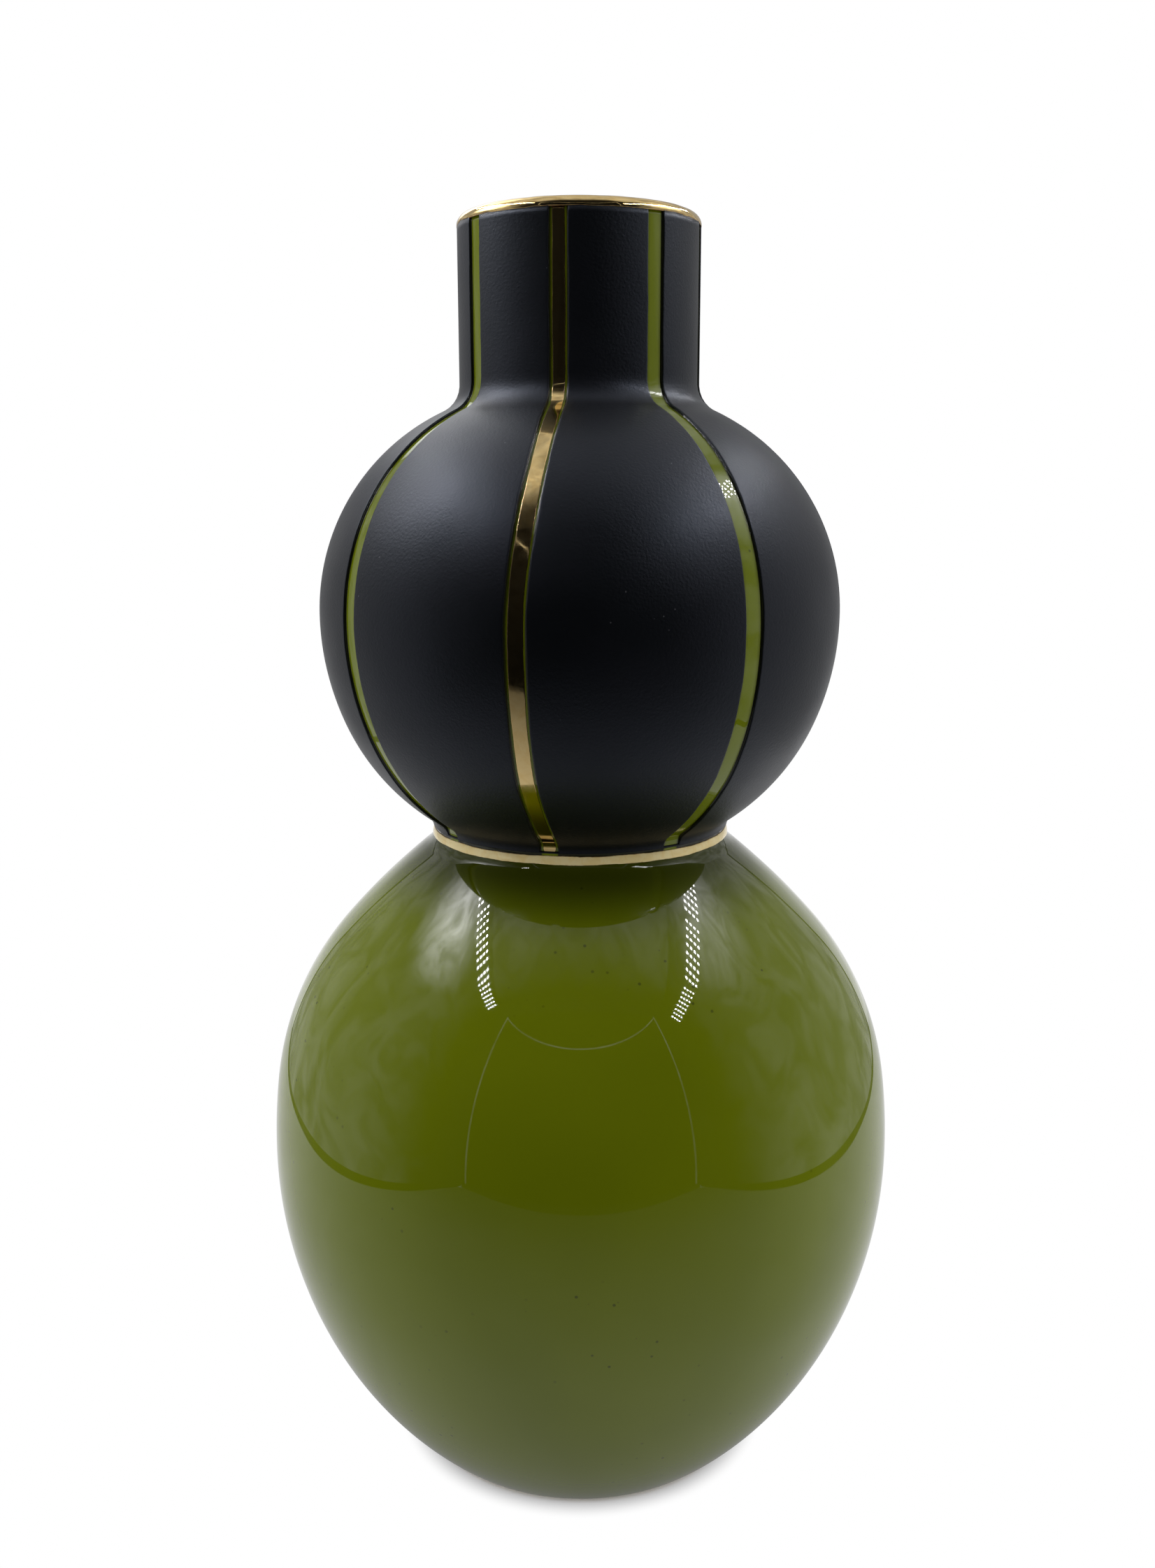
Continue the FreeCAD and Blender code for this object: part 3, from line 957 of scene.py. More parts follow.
@dataclass
class UpperGlaze:
    """Green glaze of the ball and the neck, which lines the grooves."""

    course: Course
    stripes: StripeSizes = field(default_factory=StripeSizes)
    start_level: float = 166.0
    end_level: float = 312.9
    back: float = 0.36
    row_pitch: float = 1.3
    fine_pitch: float = 0.3
    fine_run: float = 3.4
    gap_columns: int = 6
    climb: float = 0.05
    climb_runs: float = 2.2
    # Margin of painted shade beside the black, in millimetres.
    groove_shade_from: float = 0.1
    groove_shade_to: float = 0.55

    def floor_depth(self, rows: Rows) -> np.ndarray:
        """Depth of a groove's floor, which rises to the surface in a ramp at its lower end.

        Args:
            rows: stations along the outline.

        Returns:
            The depth at each.
        """
        end = self.course.length_at(self.stripes.end_level)
        ramp = smooth_step(rows.length, end - self.stripes.ramp_lead, end + self.stripes.ramp_length)
        return self.stripes.groove_depth * ramp

    def build(self) -> Thing:
        """Grid whose depth falls from 0 beside a groove to the floor's, along an S-shaped wall.

        On the floor the glaze climbs a little towards each wall.

        Returns:
            The glaze as a closed shell.
        """
        course = self.course
        run = self.stripes.wall_run
        start = course.length_at(self.start_level)
        fine_end = course.length_at(self.stripes.end_level) + self.fine_run
        top = course.length_at(self.end_level)
        rows = course.rows(course.spaced((start, 0.0), (fine_end, self.fine_pitch), (top, self.row_pitch)))
        limit = self.stripes.slot_half(rows, course.outline)
        inside = limit[:, None, None] - run
        floor_shares = np.array([-1.0, -0.9, -0.6, -0.2, 0.2, 0.6, 0.9, 1.0])
        wall_steps = np.array([0.2, 0.4, 0.6, 0.8, 1.0, 1.6])
        every_stripe = np.ones((1, 1, self.stripes.count))
        floor = inside * floor_shares[None, :, None] * every_stripe
        right = (inside + run * wall_steps[None, :, None]) * every_stripe
        offsets = np.concatenate([-right[:, ::-1], floor, right], axis=1)
        middles = self.stripes.bearings(rows, course.outline)
        bearing, away = stripe_columns(rows, middles, offsets, inner_shares(self.gap_columns))
        past = away - limit[:, None]
        in_slot = 1.0 - smooth_step(past, -run, 0.0)
        climb = self.climb * smooth_step(past, -self.climb_runs * run, -run)
        depth = self.floor_depth(rows)[:, None] * (in_slot - climb * in_slot)
        # Painted shade along each groove wall: the mark is 0 at the wall and 1 past the margin.
        groove_shade = smooth_step(np.maximum(-past, 0.0), self.groove_shade_from, self.groove_shade_to)
        outer = wrap(rows, bearing, depth)
        inner = wrap(rows, bearing, depth + self.back)
        return shell("upper_green_glaze_surface", outer, inner, marks={"from_black": groove_shade})


@dataclass
class BlackCoat:
    """Matt black of the ball and the neck, cut away along the stripes."""

    course: Course
    stripes: StripeSizes = field(default_factory=StripeSizes)
    start_level: float = 166.8
    end_level: float = 312.7
    thickness: float = 0.3
    sunk: float = 0.04
    back: float = 0.1
    edge_round: float = 0.22
    past_slot: float = 0.03
    waver: float = 0.13
    seed: int = 11
    row_pitch: float = 1.5
    fine_rows: tuple[tuple[float, float], ...] = ((0.4, 0.08), (3.0, 0.4))
    slot_columns: int = 5
    gap_columns: int = 18
    far: float = 9.0

    def edge_offsets(self, rows: Rows) -> tuple[np.ndarray, np.ndarray]:
        """Distance of the left and right edge of each stripe from its middle line.

        Args:
            rows: stations along the outline.

        Returns:
            Two grids, rows by stripes.
        """
        half = self.stripes.slot_half(rows, self.course.outline) + self.past_slot
        seeds = [self.seed + 2 * stripe for stripe in range(self.stripes.count)]
        left = [half + hand_waver(rows.length, seed, self.waver) for seed in seeds]
        right = [half + hand_waver(rows.length, seed + 1, self.waver) for seed in seeds]
        return np.stack(left, axis=1), np.stack(right, axis=1)

    def build(self) -> Thing:
        """Grid whose thickness grows from nothing at every cut edge in a quarter round.

        Rows are closer just past the stripes' lower ends.

        Returns:
            The coat as a closed shell with eight slots.
        """
        course = self.course
        count = self.stripes.count
        start = course.length_at(self.start_level)
        end = course.length_at(self.stripes.end_level)
        top = course.length_at(self.end_level)
        fine = [(end + past, pitch) for past, pitch in self.fine_rows]
        rows = course.rows(course.spaced((start, 0.0), *fine, (top, self.row_pitch)))
        left, right = (edge[:, None, :] for edge in self.edge_offsets(rows))
        steps = np.array([0.0, 0.02, 0.06, 0.12, 0.22, 0.5, 1.4])
        across = (2.0 * inner_shares(self.slot_columns) - 1.0)[None, :, None]
        gaps = inner_shares(self.gap_columns)
        leftward = -(left + steps[::-1][None, :, None])
        rightward = right + steps[None, :, None]
        middle = np.where(across < 0.0, left, right) * across
        offsets = np.concatenate([leftward, middle, rightward], axis=1)
        bearing, _ = stripe_columns(rows, self.stripes.bearings(rows, course.outline), offsets, gaps)
        far = np.full(self.gap_columns, self.far)
        beside = np.tile(np.concatenate([steps[::-1], np.zeros(self.slot_columns), steps, far]), count)
        below = np.maximum(end - rows.length, 0.0)[:, None]
        reach = np.minimum(np.hypot(beside, below), (rows.length - start)[:, None])
        thickness = (self.thickness + self.sunk) * quarter_round(reach, self.edge_round)
        outer = wrap(rows, bearing, self.sunk - thickness)
        inner = wrap(rows, bearing, np.full_like(thickness, self.sunk + self.back))
        column = np.arange(beside.size) % (beside.size // count)
        slot = (column >= len(steps) - 1) & (column < len(steps) + self.slot_columns)
        above = rows.length[:-1] > end - 1e-6
        return shell("matt_black_coat", outer, inner, ~(above[:, None] & slot[None, :]))


@dataclass
class GoldStripe:
    """Gold on the floor of one groove."""

    course: Course
    glaze: UpperGlaze
    number: int
    groove: int
    end_level: float = 312.8
    film: float = 0.11
    sunk: float = 0.02
    back: float = 0.06
    edge_round: float = 0.12
    waver: float = 0.1
    ripple: float = 0.012
    lead: float = 0.35
    taper_from: float = -3.0
    taper_to: float = 1.2
    swell_width: float = 3.0
    seed: int = 60
    row_pitch: float = 0.9
    fine_run: float = 4.0
    fine_pitch: float = 0.25

    def build(self) -> Thing:
        """Narrow grid on the groove's floor with rounded edges and low ripples along it.

        Returns:
            The stripe as a closed shell.
        """
        course = self.course
        sizes = self.glaze.stripes
        start = course.length_at(sizes.end_level) - self.lead
        top = course.length_at(self.end_level)
        fine_end = start + self.fine_run
        rows = course.rows(
            course.spaced((start, 0.0), (fine_end, self.fine_pitch), (top, self.row_pitch))
        )
        taper = smooth_step(rows.length, start + self.taper_from, start + self.taper_to)
        half = sizes.gold_half(rows, course.outline) * taper
        left_seed, right_seed, swell_seed = (self.seed + self.number + more for more in (0, 10, 20))
        left = (half + hand_waver(rows.length, left_seed, self.waver))[:, None]
        right = (half + hand_waver(rows.length, right_seed, self.waver))[:, None]
        shares = np.array([0.0, 0.02, 0.05, 0.1, 0.2, 0.35, 0.5, 0.65, 0.8, 0.9, 0.95, 0.98, 1.0])
        offset = -left + (left + right) * shares
        middle = sizes.bearings(rows, course.outline)[:, self.groove]
        bearing = middle[:, None] + np.arcsin(offset / rows.radius[:, None])
        edge = np.minimum(offset + left, right - offset)
        edge = np.minimum(edge, (rows.length - start)[:, None])
        floor = self.glaze.floor_depth(rows)[:, None] + self.sunk
        swell = hand_waver(rows.length, swell_seed, 1.0)[:, None] * (1.0 + offset / self.swell_width)
        thickness = (self.film + self.ripple * swell) * quarter_round(edge, self.edge_round)
        outer = wrap(rows, bearing, floor - thickness)
        inner = wrap(rows, bearing, floor + self.back + np.zeros_like(edge))
        marks = {"from_edge": np.maximum(edge, 0.0)}
        return strip(f"gold_stripe_{self.number}_film", outer, inner, marks)


def strip(name: str, outer: np.ndarray, inner: np.ndarray, marks: dict[str, np.ndarray]) -> Thing:
    """Closed shell between two grids that don't go round the axis.

    Args:
        name: name of the piece.
        outer: rows by columns of points, in millimetres.
        inner: the same grid on the back.
        marks: named numbers for each grid point.

    Returns:
        The new object.
    """
    keep = np.ones((outer.shape[0] - 1, outer.shape[1]), dtype=bool)
    keep[:, -1] = False
    return shell(name, outer, inner, keep, marks)


@dataclass
class Ring:
    """A coat that goes once round the vase between two heights."""

    name: str
    course: Course
    low: float
    high: float
    over: float
    under: float
    columns: int = 256
    pitch: float = 1.6
    edge_round: float = 0.3
    edge_rows: int = 6
    waver: float = 0.0
    ripple: float = 0.0
    wave_share: float = 0.3
    wave_along: float = 2.1
    wave_round: float = 9.0
    seed: int = 1
    bead: float = 0.0
    back: float = 0.05

    def build(self) -> Thing:
        """Grid at the coat's depth, which falls to the surface under it in a quarter round at both ends.

        Both ends waver, and rows between them move in step. A bead adds a parabola across the coat.

        Returns:
            The coat as a closed shell.
        """
        course = self.course
        start = course.length_at(self.low)
        end = course.length_at(self.high)
        near = min(self.edge_round * 1.2, (end - start) / 3.0)
        fine = near / self.edge_rows
        lengths = course.spaced((start, 0.0), (start + near, fine), (end - near, self.pitch), (end, fine))
        bearing = all_round(self.columns)
        around = bearing * float(course.rows(lengths).radius.mean())
        shift_low = hand_waver(around, self.seed, self.waver)
        shift_high = hand_waver(around, self.seed + 1, self.waver)
        share = ((lengths - start) / (end - start))[:, None]
        moved = lengths[:, None] + shift_low * (1.0 - share) + shift_high * share
        rows = course.rows(moved.reshape(-1))
        edge = np.minimum(lengths - start, end - lengths)[:, None] + np.zeros_like(moved)
        waves = self.wave_share * np.sin(moved * self.wave_along + bearing * self.wave_round)
        swell = self.ripple * (hand_waver(around, self.seed + 2, 1.0) + waves)
        crown = self.bead * 4.0 * share * (1.0 - share)
        rise = (self.under - self.over + swell) * quarter_round(edge, self.edge_round)
        depth = self.under - rise - crown
        bearings = np.broadcast_to(bearing, moved.shape).reshape(-1, 1)
        outer, inner = (
            wrap(rows, bearings, face.reshape(-1, 1)).reshape(*moved.shape, 3)
            for face in (depth, np.full_like(depth, self.under + self.back))
        )
        return shell(self.name, outer, inner, marks={"from_edge": edge})


@dataclass
class LipBand:
    """Gold over the rim, thick and rippled where the brush went round."""

    outline: Outline
    crown: float = 314.95
    out_round: float = 2.3
    in_round: float = 2.05
    film: float = 0.2
    back: float = 0.12
    edge_round: float = 0.22
    inner_turn: float = math.radians(152.0)
    waver: float = 0.16
    ripple: float = 0.035
    wave_share: float = 0.3
    wave_along: float = 2.4
    wave_round: float = 0.8
    seed: int = 31
    columns: int = 288
    outer_rows: int = 14
    inner_rows: int = 12
    step: float = 0.26

    def build(self) -> Thing:
        """Profile of two rounds over the rim, swept round the axis.

        The outer round goes from level to upright over its radius, the inner one from upright on
        over its own, and the film thins to nothing at both ends. Two rows lead up to the rounds.

        Returns:
            The band as a closed shell.
        """
        outer_turns = np.linspace(0.0, QUARTER_TURN, self.outer_rows)[:-1]
        inner_turns = np.linspace(QUARTER_TURN, self.inner_turn, self.inner_rows)
        turns = np.concatenate([outer_turns, inner_turns])
        radii = np.repeat([self.out_round, self.in_round], [len(outer_turns), len(inner_turns)])
        centres = self.crown - radii
        turn = np.concatenate([[0.0, 0.0], turns])[:, None]
        radius = np.concatenate([radii[:1], radii[:1], radii])[:, None]
        lead = [centres[0] - self.step, centres[0] - self.step / 2.0]
        centre = np.concatenate([lead, centres])[:, None]
        steps = np.concatenate([[0.0, 0.06, 0.08], np.full(len(turns) - 1, self.step)])
        level = np.cumsum(steps)[:, None]
        bearing = all_round(self.columns)
        around = bearing * self.outline.neck_radius
        from_low = level + hand_waver(around, self.seed, self.waver)
        from_end = level[-1] - level + hand_waver(around, self.seed + 1, self.waver)
        near = np.minimum(np.maximum(from_low, 0.0), np.maximum(from_end, 0.0))
        waves = self.wave_share * np.sin(level * self.wave_along + around * self.wave_round)
        swell = self.ripple * (hand_waver(around, self.seed + 2, 1.0) + waves)
        film = (self.film + swell) * quarter_round(near, self.edge_round)
        outer, inner = (
            swept(self.outline.rim_middle + np.cos(turn) * reach, centre + np.sin(turn) * reach, bearing)
            for reach in (radius - self.film + film, radius - self.film - self.back)
        )
        return shell("gold_lip_band_film", outer, inner, marks={"from_edge": near})


@dataclass
class Lining:
    """Glaze of the whole inside, from the middle of the floor over the rim's inner half."""

    course: Course
    depth: float = 3.8
    back: float = 0.36
    floor: float = 7.4
    corner: float = 8.0
    rim_round: float = 1.9
    crown: float = 314.85
    hub: float = 0.5
    columns: int = 192
    floor_rows: int = 10
    corner_rows: int = 12
    rim_rows: int = 8
    pitch: float = 2.2

    def profile(self, depth: float, floor: float) -> tuple[np.ndarray, np.ndarray]:
        """Radius and height of a surface inside the wall.

        The floor is level, the corner is a round that touches the floor and the lowest arc of the
        wall, and above it the wall keeps its depth up to the rim's round.

        Args:
            depth: depth under the green surface.
            floor: height of this surface's floor.

        Returns:
            Radii and heights from the axis to the rim's crown, one row each.
        """
        course = self.course
        corner = self.corner - (depth - self.depth + self.back)
        bow_radius = float(course.radius[0]) - depth - corner
        drop = float(course.height[0]) - floor - corner
        corner_across = float(course.across[0]) + math.sqrt(bow_radius**2 - drop**2)
        corner_turn = -math.asin(drop / bow_radius)
        level = np.linspace(self.hub, corner_across, self.floor_rows)
        turns = np.linspace(-QUARTER_TURN, corner_turn, self.corner_rows)[1:]
        start = (corner_turn - course.turn_1[0]) * course.radius[0]
        rim_level = self.crown - self.rim_round
        rows = course.rows(course.spaced((start, 0.0), (course.length_at(rim_level), self.pitch))[1:])
        rim_turns = np.linspace(2.0 * QUARTER_TURN, QUARTER_TURN, self.rim_rows)[1:]
        reach = self.rim_round - (self.depth - depth)
        radius = (
            level,
            corner_across + corner * np.cos(turns),
            rows.radius - depth * rows.out,
            course.outline.rim_middle + reach * np.cos(rim_turns),
        )
        height = (
            np.full_like(level, floor),
            floor + corner + corner * np.sin(turns),
            rows.height - depth * rows.up,
            rim_level + reach * np.sin(rim_turns),
        )
        return np.concatenate(radius)[:, None], np.concatenate(height)[:, None]

    def build(self) -> Thing:
        """Sweep both faces of the lining round the axis; the glazed face looks inwards.

        Returns:
            The lining as a closed shell.
        """
        front = self.profile(self.depth, self.floor)
        rear = self.profile(self.depth - self.back, self.floor - self.back)
        bearing = all_round(self.columns)
        return shell("inner_glaze_surface", swept(*rear, bearing), swept(*front, bearing))


@dataclass
class LowerGourd(Coat):
    """The lower bulb: gloss green outside, bare clay at the foot, glaze under it."""

    def build(self) -> list[Thing]:
        """Dress the lower bulb.

        Returns:
            The new pieces.
        """
        glaze = Ring(
            "lower_green_glaze_surface", self.course, 1.2, 166.2, over=0.0, under=0.4, edge_round=0.7
        )
        self.dress_solid("lower_gourd", "stoneware_clay")
        self.dress_solid("base_glaze", "green_glaze")
        self.dress_solid("waist_luting_ring", "slip")
        return [self.dress(glaze.build(), "green_glaze", "lower_green_glaze")]


@dataclass
class UpperGourd(Coat):
    """The ball and the neck: grooved green glaze, black between the grooves, gold in every second one."""

    stripes: StripeSizes = field(default_factory=StripeSizes)

    def build(self) -> list[Thing]:
        """Dress the ball and the neck.

        Returns:
            The new pieces.
        """
        glaze = UpperGlaze(self.course, self.stripes)
        coat = BlackCoat(self.course, self.stripes)
        gores = [f"black_gore_{number}" for number in range(1, self.stripes.count + 1)]
        pieces = [
            self.dress(glaze.build(), "green_glaze", "upper_green_glaze", finish="green_glaze_grooved"),
            self.dress(coat.build(), "matt_black", "black_hem", *gores),
        ]
        grooves = range(self.stripes.count)
        golden = [groove for groove in grooves if Stripe(groove % len(Stripe)) is Stripe.GOLD]
        for number, groove in enumerate(golden, 1):
            film = GoldStripe(self.course, glaze, number, groove).build()
            pieces.append(self.dress(film, "gold_lustre", f"gold_stripe_{number}"))
        self.dress_solid("upper_gourd", "stoneware_clay")
        self.dress_solid("neck_collar", "stoneware_clay")
        self.dress_solid("neck_luting_ring", "slip")
        return pieces


@dataclass
class Gilding(Coat):
    """The gold lines at the waist and at the lip."""

    def build(self) -> list[Thing]:
        """Lay both gold lines.

        Returns:
            The new pieces.
        """
        waist = Ring(
            "gold_waist_band_film", self.course, 164.1, 166.2, over=-0.15, under=0.03,
            columns=320, pitch=0.12, edge_round=0.2, waver=0.14, ripple=0.02, seed=41, bead=0.26,
        )
        lip = LipBand(self.course.outline)
        return [
            self.dress(waist.build(), "gold_lustre", "gold_waist_band", finish="waist_gold_painted_light"),
            self.dress(lip.build(), "gold_lustre", "gold_lip_band"),
        ]


@dataclass
class Inside(Coat):
    """The glazed inside, which shows in the mouth."""

    def build(self) -> list[Thing]:
        """Line the inside."""
        return [self.dress(Lining(self.course).build(), "green_glaze", "inner_glaze_lining")]


class Glow(Nodes):
    """Nodes of a finish that shines by itself and reflects nothing."""

    def surface(self) -> bpy.types.Node:
        """Emission shader, led to the output.

        Returns:
            The shader.
        """
        shader = self.add("Emission")
        self.join(shader.outputs["Emission"], self.output.inputs["Surface"])
        return shader

    def seen(self) -> Socket:
        """1 for a view of it, direct, mirrored or through glass, and 0 for its light on other things.

        Returns:
            The number's socket.
        """
        path = self.add("LightPath")
        seen = path.outputs["Is Camera Ray"]
        for name in ("Is Glossy Ray", "Is Transmission Ray"):
            seen = self.math("MAXIMUM", seen, path.outputs[name])
        return seen


@dataclass(frozen=True)
class Cloth:
    """Lit cloth of the tent: brighter in one direction, with soft creases and a pool of light, or of
    painted shade where the pool's level is negative.

    Levels are strengths, where 1 is white. Places and distances are in metres.
    """

    name: str
    dim: float
    bright: float
    direction: Place = (0.0, 1.0, 0.0)
    dim_at: float = -0.30
    bright_at: float = -0.06
    creases: float = 0.3
    pool: Place = (0.0, 0.0, 0.0)
    pool_reach: float = 0.2
    pool_level: float = 0.0

    def build(self) -> Material:
        """Even rise along the direction plus a pool that fades outwards, times slow noise.

        Returns:
            The material.
        """
        nodes = Glow(self.name)
        way = nodes.along(self.direction)
        rise = nodes.stretch(way, self.dim_at, self.bright_at, self.dim, self.bright)
        away = nodes.measure("DISTANCE", self.pool)
        pool = nodes.stretch(away, 0.0, self.pool_reach, self.pool_level, 0.0)
        noise = nodes.noise(8.0, detail=4.0, roughness=0.55, distortion=1.8)
        folds = nodes.stretch(noise, 0.3, 0.7, 1.0 - self.creases, 1.0 + self.creases)
        return nodes.finish(Strength=nodes.product(nodes.sum(rise, pool, 1.0), folds))


def stage_mesh(name: str, points: np.ndarray, faces: np.ndarray, material: Material) -> Thing:
    """Thing of the studio that the camera doesn't see.

    Args:
        name: its name.
        points: its corners, in metres.
        faces: its faces, one row each.
        material: its finish.

    Returns:
        The object.
    """
    mesh = bpy.data.meshes.new(name)
    mesh.from_pydata(points.tolist(), [], faces.tolist())
    mesh.materials.append(material)
    thing = bpy.data.objects.new(name, mesh)
    bpy.context.scene.collection.objects.link(thing)
    thing.visible_camera = False
    return thing


@dataclass(frozen=True)
class LampStrip:
    """Strip of small square lamps along an upper edge of the tent, in groups, facing the vase."""

    side: Side
    out: float = 0.322
    height: float = 0.612
    near_end: float = -0.305
    far_end: float = 0.17
    level: float = 84.0
    groups: int = 4
    group_rows: int = 8
    abreast: int = 4
    row_pitch: float = 0.0188
    pitch: float = 0.010
    half: float = 0.0025

    def build(self) -> None:
        """Squares on a grid that leans half way between wall and top.

        A step up the slope goes up and inwards, by its length over the root of two each way.
        """
        starts = np.linspace(self.near_end, self.far_end, self.groups)
        along = (starts[:, None] + np.arange(self.group_rows) * self.row_pitch).reshape(-1)
        across = (np.arange(self.abreast) - (self.abreast - 1) / 2.0) * self.pitch
        corners = np.array([[-1.0, -1.0], [1.0, -1.0], [1.0, 1.0], [-1.0, 1.0]]) * self.half
        along, across = np.meshgrid(along, across, indexing="ij")
        depth = along.reshape(-1, 1) + corners[:, 0]
        slope = (across.reshape(-1, 1) + corners[:, 1]) * math.sqrt(0.5)
        sideways = self.side.value * (self.out - slope)
        points = np.stack([sideways, depth, self.height + slope], axis=-1).reshape(-1, 3)
        name = f"lamp_strip_{self.side.name.lower()}"
        glow = Glow(f"{name}_glow").finish(Strength=self.level)
        stage_mesh(name, points, np.arange(len(points)).reshape(-1, 4), glow).visible_shadow = False


@dataclass(frozen=True)
class SideLamp:
    """Soft square lamp beside the tent. It lights the vase through the cloth and isn't mirrored."""

    side: Side
    out: float = 0.34
    near: float = 0.17
    height: float = 0.15
    width: float = 0.2
    power: float = 0.98

    def build(self) -> None:
        """Place the lamp upright, facing the vase."""
        name = f"side_lamp_{self.side.name.lower()}"
        data = bpy.data.lights.new(name, "AREA")
        data.size = self.width
        data.energy = self.power
        lamp = bpy.data.objects.new(name, data)
        bpy.context.scene.collection.objects.link(lamp)
        lamp.location = (self.side.value * self.out, -self.near, self.height)
        lamp.rotation_euler = (QUARTER_TURN, 0.0, self.side.value * math.atan2(self.out, self.near))
        lamp.visible_camera = False
        lamp.visible_glossy = False


@dataclass(frozen=True)
class LightTent:
    """A white light tent with an open front, in metres.

    A row of small bright lamps runs along each upper edge and lights the cloth in pools. What is
    outside the open front is dark. Seams stand a small gap off the cloth.
    """

    half_width: float = 0.334
    front: float = -0.43
    rear: float = 0.40
    top: float = 0.70
    mat_half: float = 0.324
    mat_front: float = -0.41
    mat_hole: float = 0.0445
    mat_lift: float = 0.0004
    skirt_rise: float = 0.008
    piping_in: float = 0.012
    piping: float = 0.007
    corner_roll: float = 0.012
    gap: float = 0.002
    top_sag: float = 0.237
    sag_points: int = 25
    mat_corners: int = 192
    wall: Cloth = Cloth("wall", 0.02, 0.45, creases=0.45, pool=(0.0, 0.02, 0.525), pool_reach=0.18)
    wall_pools: tuple[tuple[Side, float], ...] = ((Side.LEFT, 6.2), (Side.RIGHT, 2.2))
    ceiling: Cloth = Cloth(
        "tent_top_cloth", 0.03, 0.6, dim_at=-0.34, bright_at=-0.12, creases=0.4,
        pool=(-0.26, 0.25, 0.70), pool_reach=0.22, pool_level=2.1,
    )
    backdrop: Cloth = Cloth(
        "tent_rear_cloth", 0.95, 0.42, UP, dim_at=0.0, bright_at=0.32, creases=0.1,
        pool=(-0.21, 0.40, 0.57), pool_reach=0.2, pool_level=3.0,
    )
    room: Cloth = Cloth("dark_front_face", 0.004, 0.012, UP, dim_at=0.0, bright_at=0.70, creases=0.2)
    piping_cloth: Cloth = Cloth("tent_piping", 0.5, 0.9, UP, dim_at=0.0, bright_at=0.696, creases=0.4)
    roll: Cloth = Cloth("tent_roll", 0.02, 0.1, dim_at=-0.2, bright_at=0.2)
    # The mat's negative pool round the middle is a painted shadow of the vase round its foot.
    matting: Cloth = Cloth(
        "tent_mat_cloth", 0.11, 0.76, dim_at=-0.42, bright_at=0.15, creases=0.04,
        pool=(0.0, 0.0, 0.0), pool_reach=0.11, pool_level=-0.55,
    )
    lamps: tuple[LampStrip, ...] = (
        LampStrip(Side.LEFT),
        LampStrip(Side.RIGHT, height=0.54, near_end=-0.315, level=71.0),
    )

    def sheet(self, name: str, material: Material, *corners: Place) -> None:
        """Hang one flat sheet between four corners."""
        stage_mesh(name, np.array(corners), np.arange(len(corners))[None, :], material)

    def oblong(self, name: str, material: Material, one: Place, other: Place) -> None:
        """Hang one level or upright oblong sheet.

        The second corner takes the first way that differs from the opposite corner, and the
        fourth takes the other way.

        Args:
            name: its name.
            material: its finish.
            one: a corner.
            other: the opposite corner.
        """
        way = np.flatnonzero(np.array(one) != np.array(other))
        corners = np.array([one, one, other, one])
        corners[1, way[0]] = other[way[0]]
        corners[3, way[1]] = other[way[1]]
        self.sheet(name, material, *corners)

    def walls(self) -> None:
        """Both side walls, the top, the rear wall and the dark front."""
        half = self.half_width
        for side, level in self.wall_pools:
            out = side.value * half
            name = f"tent_{side.name.lower()}"
            pool = (out, *self.wall.pool[1:])
            cloth = replace(self.wall, name=f"{name}_cloth", pool=pool, pool_level=level)
            self.oblong(name, cloth.build(), (out, self.front, 0.0), (out, self.rear, self.top))
        ceiling = self.ceiling.build()
        self.oblong("tent_top", ceiling, (-half, self.front, self.top), (half, self.rear, self.top))
        backdrop = self.backdrop.build()
        self.oblong("tent_rear", backdrop, (-half, self.rear, 0.0), (half, self.rear, self.top))
        self.oblong("dark_front", self.room.build(), (-half, self.front, 0.0), (half, self.front, self.top))

    def seams(self) -> None:
        """Pale piping round the front, and dark rolls of cloth round the mat and in the rear corners."""
        piping = self.piping_cloth.build()
        roll = self.roll.build()
        front = self.front + self.gap
        rear = self.rear - self.gap
        top = self.top - 2.0 * self.gap
        edge = self.half_width - self.piping_in
        low = self.mat_lift
        high = self.skirt_rise
        self.sagging_piping(piping, edge, front, top)
        for side in Side:
            name = side.name.lower()
            edge_x, inner_x, mat_x, wall_x, corner_x, corner_in = side.value * np.array([
                edge, edge - self.piping, self.mat_half, self.half_width - self.gap,
                self.half_width, self.half_width - self.corner_roll,
            ])
            self.oblong(f"piping_{name}", piping, (edge_x, front, 0.0), (inner_x, front, top))
            self.oblong(f"corner_{name}", roll, (corner_x, rear, 0.0), (corner_in, rear, top))
            self.sheet(
                f"roll_{name}", roll, (mat_x, self.mat_front, low), (mat_x, self.rear, low),
                (wall_x, self.rear, high), (wall_x, self.front, high),
            )
        self.sheet(
            "roll_front", roll, (-self.mat_half, self.mat_front, low), (self.mat_half, self.mat_front, low),
            (edge, front, high), (-edge, front, high),
        )

    def sagging_piping(self, material: Material, edge: float, front: float, top: float) -> None:
        """Piping along the upper edge of the open front, which sags in a parabola.

        Args:
            material: its finish.
            edge: half of the width between its ends.
            front: where it hangs, along Y.
            top: height of its ends.
        """
        across = np.linspace(-edge, edge, self.sag_points)
        sag = top - self.top_sag * (1.0 - (across / edge) ** 2)
        upper = np.stack([across, np.full_like(across, front), sag], axis=-1)
        index = np.arange(len(across) - 1)
        count = len(across)
        faces = np.stack([index, index + 1, index + 1 + count, index + count], axis=-1)
        points = np.concatenate([upper - (0.0, 0.0, self.piping), upper])
        stage_mesh("piping_top", points, faces, material)

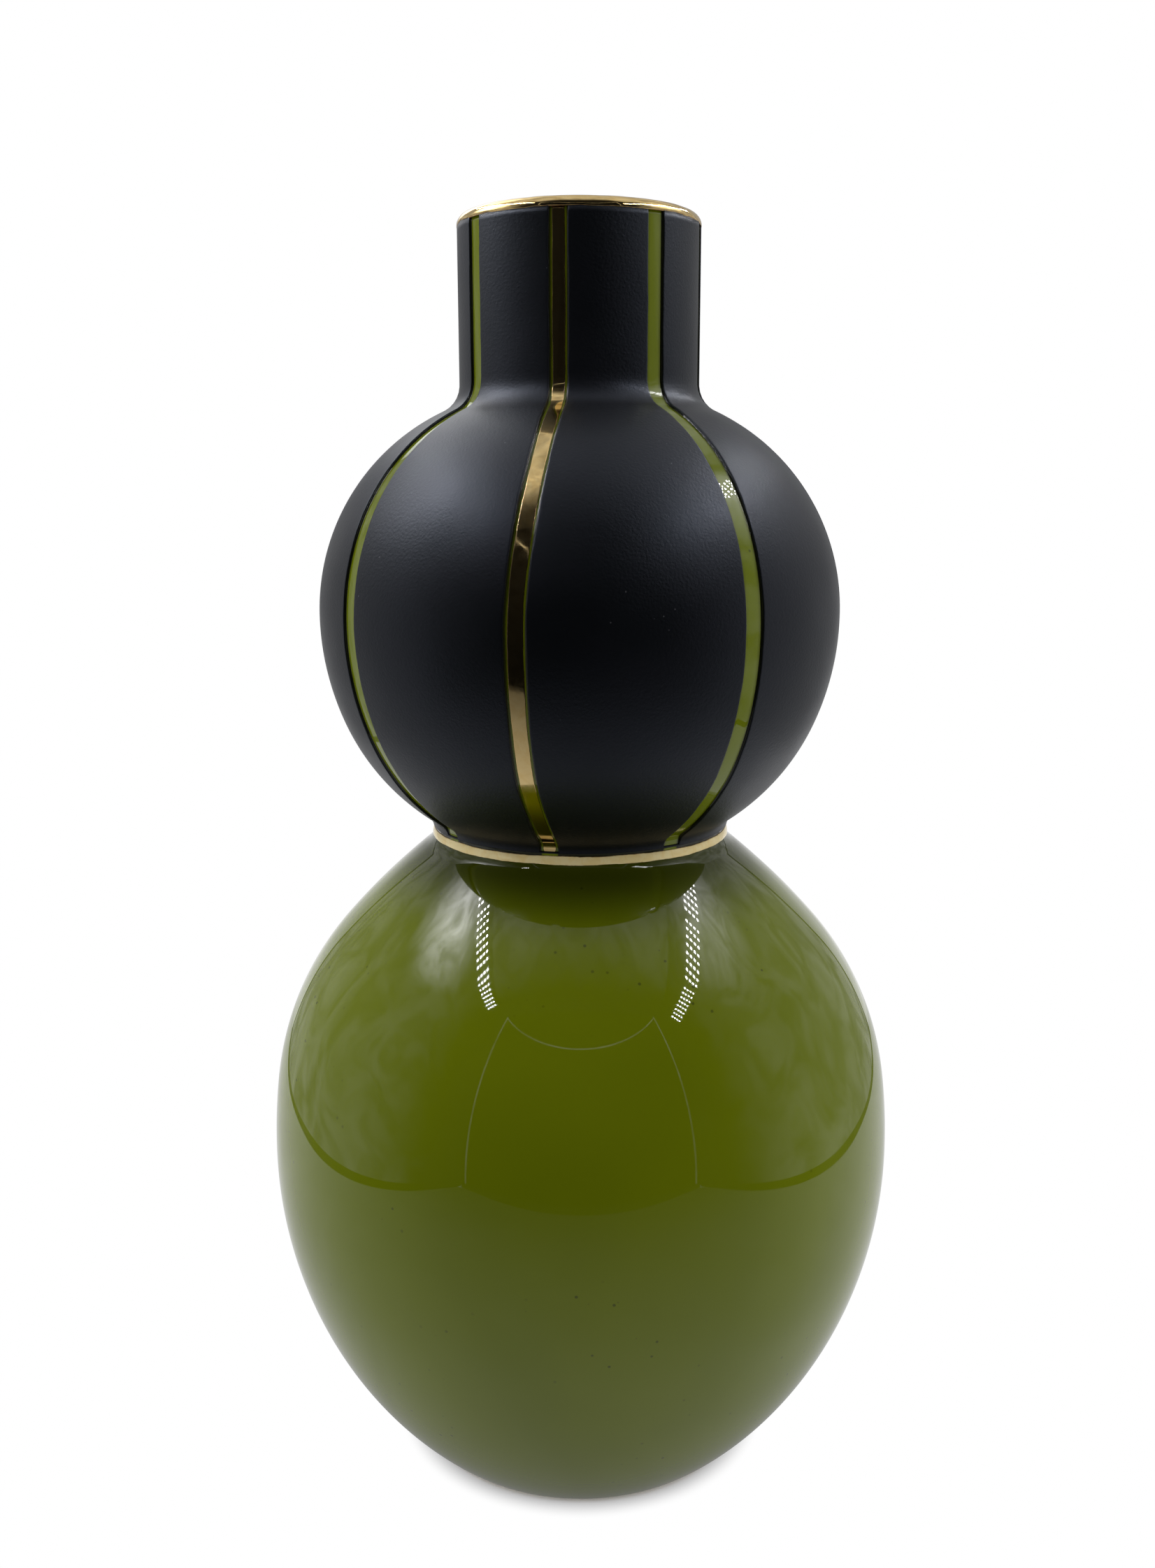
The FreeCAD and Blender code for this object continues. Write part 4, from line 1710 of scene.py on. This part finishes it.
    def mat(self) -> None:
        """Tent floor with a round hole for the vase, dimmer towards the open front, with a painted shadow
        of the vase round the hole.

        Its outer edge is where a ray from the middle leaves the oblong mat.
        """
        bearing = all_round(self.mat_corners)
        way = np.stack([np.cos(bearing), np.sin(bearing)], axis=-1)
        steepness = np.maximum(np.abs(way), 1e-6)
        ahead = np.where(way[:, 1] < 0.0, -self.mat_front, self.rear)
        outer = way * np.minimum(self.mat_half / steepness[:, 0], ahead / steepness[:, 1])[:, None]
        points = np.concatenate([way * self.mat_hole, outer])
        points = np.concatenate([points, np.full((len(points), 1), self.mat_lift)], axis=-1)
        index = np.arange(len(bearing))
        beside = np.roll(index, -1)
        faces = np.stack([index, index + len(bearing), beside + len(bearing), beside], axis=-1)
        stage_mesh("tent_mat", points, faces, self.matting.build()).visible_shadow = False

    def world(self) -> None:
        """White behind everything."""
        world = bpy.data.worlds.new("white_room")
        bpy.context.scene.world = world
        world.use_nodes = True
        background = world.node_tree.nodes["Background"]
        background.inputs["Color"].default_value = (1.0, 1.0, 1.0, 1.0)
        background.inputs["Strength"].default_value = 1.0

    def build(self) -> None:
        """Put up the tent."""
        self.walls()
        self.seams()
        self.mat()
        for lamp in (*self.lamps, *map(SideLamp, Side)):
            lamp.build()
        self.world()


@dataclass(frozen=True)
class Floor:
    """Round white floor. It shows the vase's shadow near the foot, further out it is plain white."""

    radius: float = 6.0
    lit_to: float = 0.042
    white_from: float = 0.051
    paper: float = 0.92
    corners: int = 96

    def build(self) -> None:
        """Disc with a material that turns from white paper to white glow with the distance."""
        points = swept(self.radius, 0.0, all_round(self.corners))
        nodes = Glow("floor_paper")
        paper = nodes.add("BsdfDiffuse", Color=(self.paper, self.paper, self.paper, 1.0))
        share = nodes.stretch(nodes.measure("LENGTH"), self.lit_to, self.white_from, 0.0, 1.0)
        mixed = nodes.add("MixShader", Fac=nodes.product(share, nodes.seen()))
        nodes.join(paper.outputs["BSDF"], mixed.inputs[1])
        nodes.join(nodes.shader.outputs["Emission"], mixed.inputs[2])
        nodes.join(mixed.outputs["Shader"], nodes.output.inputs["Surface"])
        disc = np.arange(len(points))[None, :]
        floor = stage_mesh("floor", points, disc, nodes.finish(Strength=1.0))
        floor.visible_camera = True


@dataclass(frozen=True)
class Viewpoint:
    """Where the photograph was taken from."""

    place: Place = (-0.0005, -0.3702, 0.2499)
    pitch: float = math.radians(-11.27)
    roll: float = math.radians(0.12)
    lens: float = 33.46
    film_height: float = 36.0
    clip_start: float = 0.01

    def build(self) -> None:
        """Camera that looks along +Y, tilted down and turned a little about its own line of sight."""
        data = bpy.data.cameras.new("camera")
        data.sensor_fit = "VERTICAL"
        data.sensor_height = self.film_height
        data.lens = self.lens
        data.clip_start = self.clip_start
        camera = bpy.data.objects.new("camera", data)
        bpy.context.scene.collection.objects.link(camera)
        camera.location = self.place
        camera.rotation_euler = (QUARTER_TURN + self.pitch, self.roll, 0.0)
        bpy.context.scene.camera = camera


def main() -> None:
    """Build the vase's looks piece by piece, then its light, floor and camera."""
    logging.basicConfig(level=logging.INFO, format="%(message)s")
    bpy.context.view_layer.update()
    course = Course(Outline())
    materials = {finish.name: finish.build() for finish in FINISHES}
    for part in (LowerGourd, UpperGourd, Gilding, Inside):
        for piece in part(course, materials).build():
            LOG.info("%s: %s, %d faces", part.__name__, piece.name, len(piece.data.polygons))
    for surrounding in (LightTent(), Floor(), Viewpoint()):
        surrounding.build()
    bpy.context.scene.view_settings.view_transform = "Standard"


if __name__ == "__main__":
    main()
